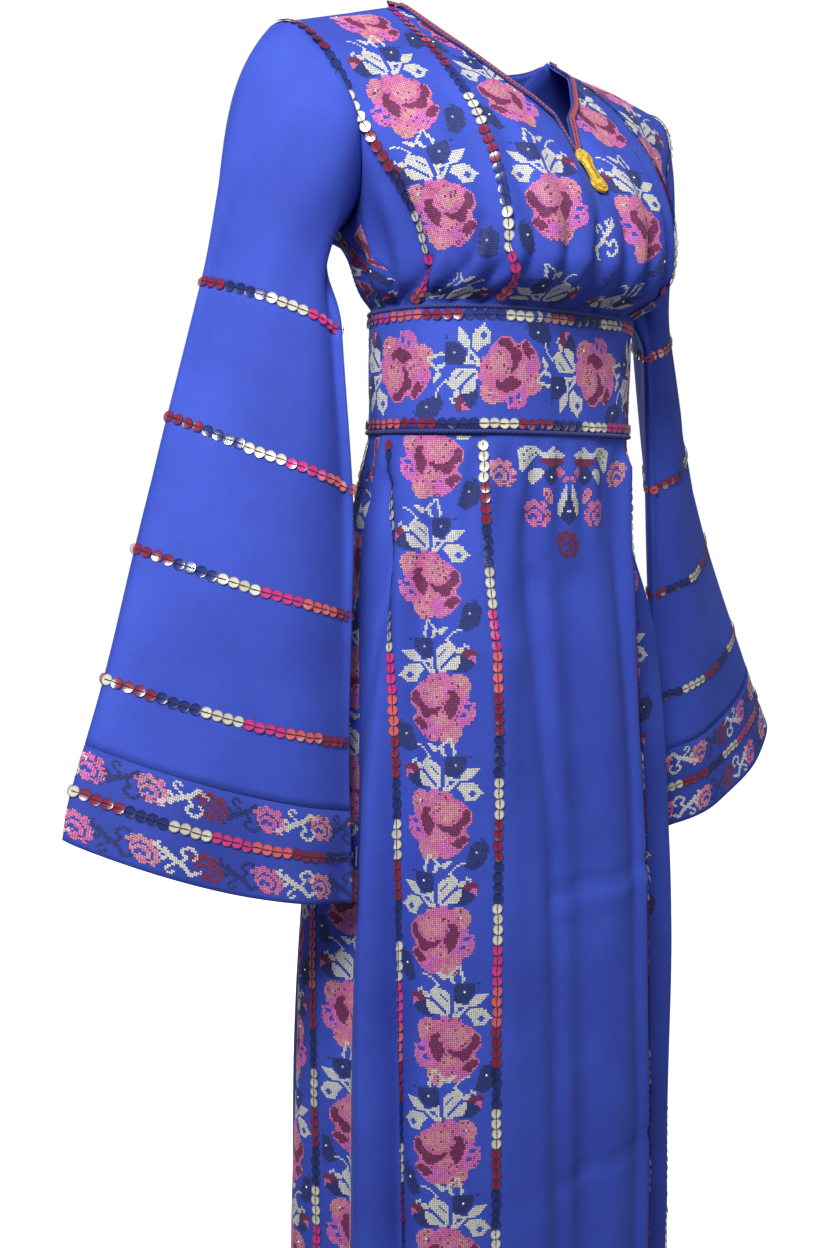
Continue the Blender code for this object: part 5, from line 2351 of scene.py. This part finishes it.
@dataclass
class Studio:
    """The floor, the soft lights and the camera."""

    floor_size: float = 9.0
    world: float = 0.20
    aim: tuple[float, float, float] = (0.0, 0.0, -0.65)
    lamps: tuple[tuple[str, tuple[float, float, float], float, float], ...] = (
        ("key_light", (-1.62, -1.02, 0.85), 68.0, 0.8),
        ("fill_light", (0.9, -2.4, 0.3), 10.5, 1.2),
        ("back_light", (1.1, 2.4, 0.5), 22.0, 1.2),
    )

    def build(self) -> None:
        """Sets everything up."""
        half = self.floor_size
        corners = np.array(((-half, -half, 0), (half, -half, 0), (half, half, 0), (-half, half, 0)))
        corners[:, 2] = CAD_BOX[0][2] - 0.0005
        floor = piece_from("studio_floor", corners, [np.array(((0, 1, 2, 3),))], PaleFloor().make())
        floor.visible_diffuse = floor.visible_glossy = False
        sky = Recipe(bpy.data.worlds.new("studio"))
        seen = sky.node("ShaderNodeLightPath")
        soft, shown = (
            sky.node("ShaderNodeBackground", None, {"Color": colour, "Strength": strength})
            for colour, strength in ((SKY_COLOUR, self.world), (WHITE, 1.0))
        )
        both = sky.node("ShaderNodeMixShader", None, {
            0: Wire(sky, seen.outputs["Is Camera Ray"]),
            1: Wire(sky, soft.outputs[0]), 2: Wire(sky, shown.outputs[0]),
        })
        sky.node("ShaderNodeOutputWorld", None, {"Surface": Wire(sky, both.outputs[0])})
        bpy.context.scene.world = sky.holder
        bpy.context.scene.view_settings.view_transform = "Standard"
        for lamp in self.lamps:
            self.lamp(*lamp)
        self.camera()

    def lamp(self, name: str, at: tuple[float, float, float], power: float, size: float) -> None:
        """Hangs one soft square light that faces the dress.

        Args:
            name: Its name.
            at: Its place.
            power: Its power in watts.
            size: Its side.
        """
        light = bpy.data.lights.new(name, "AREA")
        light.energy, light.size = power, size
        made = bpy.data.objects.new(name, light)
        made.location = at
        aim = Vector(self.aim) - Vector(at)
        made.rotation_euler = aim.to_track_quat("-Z", "Y").to_euler()
        bpy.context.scene.collection.objects.link(made)

    @staticmethod
    def camera() -> None:
        """Stands the camera where the photograph was taken."""
        up = np.array((0.0, 0.0, 1.0))
        ahead = np.array((math.sin(CAMERA_TURN), math.cos(CAMERA_TURN), 0.0))
        right = np.array((math.cos(CAMERA_TURN), -math.sin(CAMERA_TURN), 0.0))
        eye = -CAMERA_BACK * ahead - CAMERA_LEFT * right + np.array((0.0, 0.0, CAMERA_HEIGHT))
        forward = ahead * math.cos(CAMERA_DOWN) - up * math.sin(CAMERA_DOWN)
        down = -(up * math.cos(CAMERA_DOWN) + ahead * math.sin(CAMERA_DOWN))
        across = right * math.cos(CAMERA_ROLL) - down * math.sin(CAMERA_ROLL)
        below = right * math.sin(CAMERA_ROLL) + down * math.cos(CAMERA_ROLL)
        lens = bpy.data.cameras.new("camera")
        lens.sensor_fit = "HORIZONTAL"
        lens.sensor_width = SENSOR_WIDTH
        lens.lens = FOCAL_PIXELS / PHOTO_WIDTH * SENSOR_WIDTH
        made = bpy.data.objects.new("camera", lens)
        made.matrix_world = Matrix([
            (*(float(v) for v in row), float(e))
            for row, e in zip(np.stack([across, -below, -forward], 1), eye)
        ] + [(0.0, 0.0, 0.0, 1.0)])
        bpy.context.scene.collection.objects.link(made)
        bpy.context.scene.camera = made


# Roses on the strips and on the front's two halves: length down, across, turned about
BODICE_ROSES = (
    (0.034, 0.013, False), (0.148, -0.010, False), (0.270, -0.018, False), (0.420, -0.006, True),
)
SKIRT_ROSES = (
    (0.548, 0.000, False), (0.674, -0.009, False), (0.798, -0.004, True), (0.918, -0.007, False),
    (1.038, -0.004, True), (1.154, 0.004, False), (1.264, 0.002, True), (1.378, -0.002, False),
    (1.494, 0.000, True),
)
NEAR_ROSES = ((0.040, 0.050, True), (0.160, 0.058, True), (0.294, 0.062, True), (0.440, 0.052, True))
FAR_ROSES = ((0.040, 0.058, True), (0.158, 0.078, True), (0.296, 0.096, True), (0.440, 0.070, True))

# The motif under the belt, and the cuffs' flowers
ROW_MARGIN = 0.004
WORK_MARGIN = 0.006
WORK_UNDER_BELT = 0.003
FAR_ROSES_IN = 0.018
MOTIF_MIDDLE = -0.006
MOTIF_STITCH = 0.0026
CUFF_STEP = 0.0645
CUFF_UPPER_RING = 3.71
CUFF_LOWER_RING = 4.52


def seam_crease(
    name: str, side: int, beside: float, top: float, depth: float, width: float
) -> Crease:
    """A crease that runs down beside a seam to the hem.

    Args:
        name: The seam.
        side: 1 for the wearer's left and -1 for the right.
        beside: How far from the seam, away from the centre front.
        top: The height at which it starts.
        depth: How far it moves the cloth outward.
        width: Its half width.

    Returns:
        The crease.
    """
    heights = np.linspace(top, HEM_Z, 8)
    line = tuple((side * (SEAM_TABLE.at(name, z) + beside), float(z)) for z in heights)
    return Crease(line, depth, width)


CREASES = (
    seam_crease("strip_in", 1, -0.010, -0.500, 0.0080, 0.0120),
    seam_crease("strip_in", 1, 0.048, -0.520, -0.0300, 0.0290),
    seam_crease("strip_out", 1, -0.016, -0.500, 0.0080, 0.0140),
    seam_crease("strip_out", -1, 0.002, -0.520, -0.0110, 0.0115),
    seam_crease("strip_out", -1, 0.030, -0.560, 0.0060, 0.0140),
    Crease(((-0.020, -0.640), (-0.006, -0.900), (0.000, -1.200), (0.002, -1.490)), -0.0150, 0.0450),
    Crease(((-0.090, -0.700), (-0.088, -1.000), (-0.088, -1.490)), 0.0070, 0.0300),
    Crease(((-0.045, -0.957), (0.04, -0.951), (0.13, -0.943)), -0.0035, 0.0060),
    Crease(((-0.030, -0.972), (0.06, -0.968), (0.12, -0.962)), 0.0025, 0.0080),
    Crease(((-0.035, -1.277), (0.06, -1.270), (0.16, -1.262)), -0.0035, 0.0060),
    Crease(((-0.060, -0.560), (-0.056, -0.700), (-0.046, -0.900), (-0.044, -1.490)), -0.0040, 0.0150),
    Crease(((-0.050, -0.620), (-0.048, -0.760), (-0.037, -0.900), (-0.036, -1.490)), -0.0035, 0.0130),
    Crease(((-0.030, -0.620), (-0.030, -0.760), (-0.014, -0.900), (-0.012, -1.490)), 0.0030, 0.0160),
    Crease(((0.120, -0.650), (0.135, -0.950), (0.140, -1.490)), -0.0060, 0.0120),
    Crease(((0.420, -0.600), (0.470, -0.950), (0.480, -1.490)), -0.0070, 0.0180),
    Crease(((-0.470, -0.620), (-0.520, -1.000), (-0.530, -1.490)), -0.0070, 0.0180),
    Crease(((-0.222, -0.340), (-0.200, -0.290), (-0.190, -0.235)), -0.0050, 0.0060),
    Crease(((-0.188, -0.340), (-0.160, -0.295), (-0.150, -0.262)), -0.0055, 0.0050),
    Crease(((-0.150, -0.340), (-0.128, -0.300), (-0.120, -0.260)), -0.0050, 0.0050),
    Crease(((-0.118, -0.340), (-0.098, -0.290), (-0.092, -0.245)), -0.0050, 0.0050),
    Crease(((-0.080, -0.340), (-0.064, -0.300), (-0.060, -0.270)), -0.0040, 0.0045),
    Crease(((-0.040, -0.340), (-0.030, -0.298), (-0.026, -0.258)), -0.0040, 0.0045),
    Crease(((0.030, -0.340), (0.024, -0.298), (0.022, -0.262)), -0.0040, 0.0045),
    Crease(((0.075, -0.340), (0.062, -0.295), (0.058, -0.250)), -0.0045, 0.0050),
    Crease(((0.125, -0.340), (0.108, -0.295), (0.100, -0.256)), -0.0050, 0.0050),
    Crease(((0.175, -0.340), (0.155, -0.295), (0.146, -0.240)), -0.0050, 0.0055),
)
SLEEVE_CREASES = tuple(
    Crease(tuple((side * turn, ring) for turn, ring in line), depth, width)
    for side in (-1, 1)
    for line, depth, width in (
        (((2.75, -0.75), (2.72, 1.0), (2.70, 5.0)), -0.0100, 0.0360),
        (((0.75, -0.95), (0.60, -0.50), (0.35, -0.05)), -0.0030, 0.0180),
        (((1.60, -0.95), (1.50, -0.40), (1.45, 0.60)), 0.0035, 0.0300),
        (((1.30, 1.20), (1.25, 3.00), (1.30, 5.00)), 0.0030, 0.0350),
        (((2.05, 0.60), (2.00, 2.50), (2.05, 5.00)), 0.0035, 0.0300),
        (((4.10, 0.00), (4.20, 2.50), (4.25, 5.00)), -0.0050, 0.0350),
        (((5.20, 0.60), (5.10, 3.00), (5.15, 5.00)), -0.0040, 0.0350),
    )
)


@dataclass
class Thobe:
    """The whole dress: its cloth, and all that is sewn on it."""

    form: DressForm = field(
        default_factory=lambda: DressForm(creases=CREASES, sleeve_creases=SLEEVE_CREASES)
    )
    belt: Belt = field(default_factory=Belt)
    edging: NeckEdging = field(default_factory=NeckEdging)
    clasp: Clasp = field(default_factory=Clasp)
    sequins: SequinRows = field(default_factory=SequinRows)
    stones: list[Stone] = field(default_factory=list)
    finishes: dict[str, Finish] = field(default_factory=dict)

    def make_finishes(self) -> None:
        """Makes the materials."""
        self.finishes = {
            "blue_cloth": Crepe("blue_crepe", screen(62, 86, 196), screen(48, 66, 164)).make(),
            "cuff_cloth": Crepe("cuff_crepe", screen(58, 78, 178), screen(44, 60, 150)).make(),
            "thread": ThreadWork().make(),
            "film": SequinFilm().make(),
            "glass": Glass().make(),
            "gilt": Gilt().make(),
            # Each cord's second colour is the painted shade of its grooves
            "belt_cord": Cord("belt_cord_thread", screen(54, 68, 156), screen(26, 30, 84)).make(),
            "navy_cord": Cord("navy_cord_thread", screen(52, 62, 150), screen(22, 26, 80), 0.003).make(),
            "chain": Cord("coral_chain_thread", screen(232, 108, 104), screen(150, 44, 52), 0.003).make(),
            "edging": Crepe("edging_crepe", screen(56, 58, 140), screen(34, 36, 96)).make(),
            "cotton": Cord("sewing_cotton", screen(40, 40, 84), screen(18, 18, 44), 0.0015).make(),
        }

    def build(self) -> None:
        """Builds the dress piece by piece."""
        self.make_finishes()
        pieces = self.form.build()
        for piece in pieces.values():
            self.cut(piece)
        self.belt.build(self.finishes["blue_cloth"], self.finishes["belt_cord"])
        middle = self.form.centre_columns
        front, back = pieces["front_centre"], pieces["back"]
        self.edging.build(front, back, self.form, self.finishes)
        self.clasp.build(front, middle, self.edging, self.finishes["gilt"])
        for side in ("right", "left"):
            self.strip(pieces["front_strip_" + side], side)
            self.side_panel(pieces["side_panel_" + side], side)
            self.sleeve(side)
        self.front(front)
        roses = Sewing("belt_stitches", 41)
        self.belt.dress(roses, self.sequins)
        self.close(roses)
        self.sequins.made(self.finishes["film"], self.finishes["cotton"])
        StoneSetting().set(self.stones, self.finishes["glass"])

    def close(self, sewing: Sewing) -> None:
        """Makes a piece of stitching and keeps its stones."""
        sewing.made(self.finishes["thread"])
        self.stones += sewing.stones

    def cut(self, piece: Cloth) -> None:
        """Args:
            piece: The piece.
        """
        outer = piece.drawn_back()
        inner = piece.lapped()
        made = walled(piece.name + "_cloth", outer, inner, piece.tube, self.finishes[piece.slot])
        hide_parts(piece.name)
        size = piece.flat_size()
        piece.outer_area()
        LOG.info("%s: %.0f by %.0f mm", piece.name, size[0] * 1000, size[1] * 1000)

    def strip(self, piece: Cloth, side: str) -> None:
        """Works a front strip's roses and sews sequins down both its seams.

        Args:
            piece: The strip.
            side: right or left.
        """
        right = side == "right"
        points = piece.points if right else piece.points[:, ::-1]
        surface = Mapped(points, self.form.strip_columns // 2, flipped=not right)
        sewing = Sewing("front_strip_stitches_" + side, 5 if right else 6)
        upper, lower = self.spans(surface, 0.010)
        sewing.work(rose_border(BODICE_ROSES), surface, 0.0, 0.0, span=upper)
        sewing.work(rose_border(SKIRT_ROSES), surface, 0.0, 0.0 if right else FAR_ROSES_IN,
                    span=lower)
        self.close(sewing)
        inner, outer = (-1, 0) if right else (0, -1)
        for column, top_first, low_first in ((inner, 17, 0), (outer, 21, 27)):
            self.rows_down(piece, column, top_first, low_first)

    def rows_down(self, piece: Cloth, column: int, top_first: int, low_first: int) -> None:
        """Sews a row of sequins down a piece, above and below the belt.

        Args:
            piece: The piece.
            column: The column that the row follows.
            top_first: The sequin of the colour order that starts the upper row.
            low_first: The one that starts the lower row.
        """
        for top, bottom, first in (
            (0.0, BELT_TOP_Z + ROW_MARGIN, top_first),
            (BELT_BOTTOM_Z - ROW_MARGIN, HEM_Z + ROW_MARGIN, low_first),
        ):
            self.sequins.lay(*edge_of(piece, column, top, bottom), first)

    @staticmethod
    def spans(surface: Mapped, start: float) -> tuple[tuple[float, float], tuple[float, float]]:
        """The lengths down that are worked above the belt and below it.

        Args:
            surface: The piece.
            start: Where the upper stretch starts.

        Returns:
            Both stretches, each from its start to its end.
        """
        belt_top = surface.at_height(BELT_TOP_Z + ROW_MARGIN)
        belt_low = surface.at_height(BELT_BOTTOM_Z - WORK_UNDER_BELT)
        return (start, belt_top), (belt_low, surface.down[-1] - WORK_MARGIN)

    def side_panel(self, piece: Cloth, side: str) -> None:
        """Works a side panel's two part-borders and the sequin row between them.

        Args:
            piece: The panel.
            side: right or left.
        """
        middle = self.form.side_columns // 2
        surface = Mapped(piece.points, middle)
        sewing = Sewing("side_panel_stitches_" + side, 15 if side == "right" else 16)
        for centre in (-0.052, 0.052):
            band = rose_border(even_roses(12, 0.030 if centre > 0 else 0.085, centre > 0))
            band.cells = {
                (r, c): k for (r, c), k in band.cells.items()
                if 0.007 < (centre + c * STITCH_WIDTH) * math.copysign(1.0, centre) < 0.058
            }
            for span in self.spans(surface, 0.012):
                sewing.work(band, surface, 0.0, centre, span=span)
        self.close(sewing)
        self.rows_down(piece, middle, 3, 1)

    def sleeve(self, side: str) -> None:
        """Sews a sleeve's five sequin rings and works its cuff's flowers.

        Args:
            side: right or left.
        """
        lower = self.form.pieces["sleeve_lower_" + side]
        band = self.form.pieces["cuff_band_" + side]
        front_first = self.front_first(band)
        for tube, ring, first in (
            (lower, 0.02, 5), (lower, 1.0, 4), (lower, 2.0, 4), (lower, 3.0, 3), (band, 4.0, 3)
        ):
            row = int(np.argmin(np.abs(tube.place[:, 0, 1] - ring)))
            line, out = (
                np.roll(values[row], -front_first, 0) for values in (tube.points, tube.normals())
            )
            self.sequins.lay(
                np.concatenate([line, line[:1]]), np.concatenate([out, out[:1]]), first
            )
        self.cuff(band, side)

    @staticmethod
    def front_first(band: Cloth) -> int:
        """The column at the sleeve's outer edge."""
        return int(np.argmin(np.abs(band.place[0, :, 0])))

    def cuff(self, band: Cloth, side: str) -> None:
        """Works a cuff band's two rounds of flowers and vines.

        Args:
            band: The cuff band.
            side: right or left.
        """
        first = self.front_first(band)
        at = band.place[:, 0, 1]
        columns = band.points.shape[1]
        sewing = Sewing("cuff_stitches_" + side, 25 if side == "right" else 26)
        blossom = widened(FLOWER, 15)
        for ring, upended in ((CUFF_UPPER_RING, False), (CUFF_LOWER_RING, True)):
            row = int(np.argmin(np.abs(at - ring)))
            line = np.roll(band.points[row], -first, 0)
            run = along(np.concatenate([line, line[:1]]))
            steps = 2 * round(run[-1] / CUFF_STEP / 2)
            for n in range(steps):
                flower, vine = "PCDPC"[n % 5], "NI"[n % 2]
                for chart, dye, share, tall, wide in (
                    (blossom, flower, 0.20, 0.00186, 0.0024), (VINE, vine, 0.73, 0.0021, 0.0021)
                ):
                    middle = run[-1] * (n + share) / steps
                    nearest = int(np.argmin(np.abs(run - middle)))
                    turned = np.roll(band.points, -first - nearest + columns // 4, 1)
                    surface = Mapped(turned[:, :columns // 2], columns // 4)
                    canvas = Canvas()
                    canvas.lay(chart, 0, 0, mirrored=side == "left",
                               upended=chart is VINE and upended, dye=dye)
                    down = float(np.interp(ring, at, surface.down))
                    sewing.work(
                        canvas, surface, down - len(chart) / 2 * tall,
                        middle - run[nearest] - len(chart[0]) / 2 * wide,
                        size=tall, size_across=wide,
                    )
        self.close(sewing)

    def front(self, piece: Cloth) -> None:
        """Works the front centre: a border down each side of the bodice, and the crowned motif.

        Args:
            piece: The front centre.
        """
        sewing = Sewing("front_stitches", 31)
        heights = np.arange(-0.022, BELT_TOP_Z, -0.004)
        half = self.form.centre_columns
        for flipped, roses in ((False, NEAR_ROSES), (True, FAR_ROSES)):
            grid = piece.points[:, ::-1] if flipped else piece.points
            surface = Mapped(self.levelled(grid[:, :half + 1], heights), 0, flipped)
            sewing.work(rose_border(roses), surface, 0.0, 0.0,
                        span=(0.006, surface.at_height(BELT_TOP_Z + 0.006)))
            if not flipped:
                stem = ["".join(line[c] for line in VINE) for c in range(len(VINE[0]))]
                for down, dye in ((0.290, "I"), (0.345, "N")):
                    canvas = Canvas()
                    canvas.lay(stem, 0, 0, dye=dye)
                    sewing.work(canvas, surface, down, surface.across[-1] - 0.031)
        surface = Mapped(piece.points, self.form.centre_columns)
        self.motif(sewing, surface)
        self.close(sewing)

    @staticmethod
    def levelled(grid: Array, heights: Array) -> Array:
        """Half of the front's columns, read at level heights.

        Args:
            grid: Rows of points, from the strip's seam to the centre front.
            heights: The heights.

        Returns:
            Rows of points, each level; past the neckline the last point is repeated.
        """
        rows = []
        for z in heights:
            row = np.stack([
                [np.interp(-z, -grid[:, c, 2], grid[:, c, k]) for k in range(3)]
                for c in range(grid.shape[1])
            ])
            past = np.flatnonzero(grid[0, :, 2] < z)
            if len(past):
                row[past[0]:] = row[max(past[0] - 1, 0)]
            rows.append(row)
        return np.stack(rows)

    def motif(self, sewing: Sewing, surface: Mapped) -> None:
        """Works the pointed motif that hangs under the belt.

        Args:
            sewing: The stitches.
            surface: The front centre.
        """
        def lay(
            chart: Sequence[str], x: float, z: float, mirrored: bool = False, dye: str = "C"
        ) -> None:
            """Lays a chart with its middle at a place.

            Args:
                chart: Its rows of letters.
                x: How far across from the motif's middle.
                z: The height.
                mirrored: Whether left and right change places.
                dye: The thread for the letter F.
            """
            canvas = Canvas()
            canvas.lay(chart, 0, 0, mirrored=mirrored, dye=dye)
            down = surface.at_height(z) - len(chart) / 2 * STITCH
            across = MOTIF_MIDDLE + x - len(chart[0]) / 2 * MOTIF_STITCH
            sewing.work(canvas, surface, down, across, size_across=MOTIF_STITCH)

        for sign in (-1, 1):
            lay(FLOWER, sign * 0.090, -0.5065, sign > 0, "C")
            lay(FLOWER, sign * 0.044, -0.5485, sign > 0, "P")
            lay(BUD, sign * 0.031, -0.5305, sign < 0, "C")
            lay(CROWN_HALF, sign * (len(CROWN_HALF[0]) / 2 + 0.2) * MOTIF_STITCH, -0.4985, sign < 0)
            lay(DROP_HALF, sign * len(DROP_HALF[0]) / 2 * MOTIF_STITCH, -0.5395, sign < 0)
        lay(FLOWER, 0.0, -0.5815, False, "D")


def main() -> None:
    """Builds the dress and the studio."""
    logging.basicConfig(level=logging.INFO, format="%(name)s: %(message)s")
    Thobe().build()
    Studio().build()


if __name__ == "__main__":
    main()
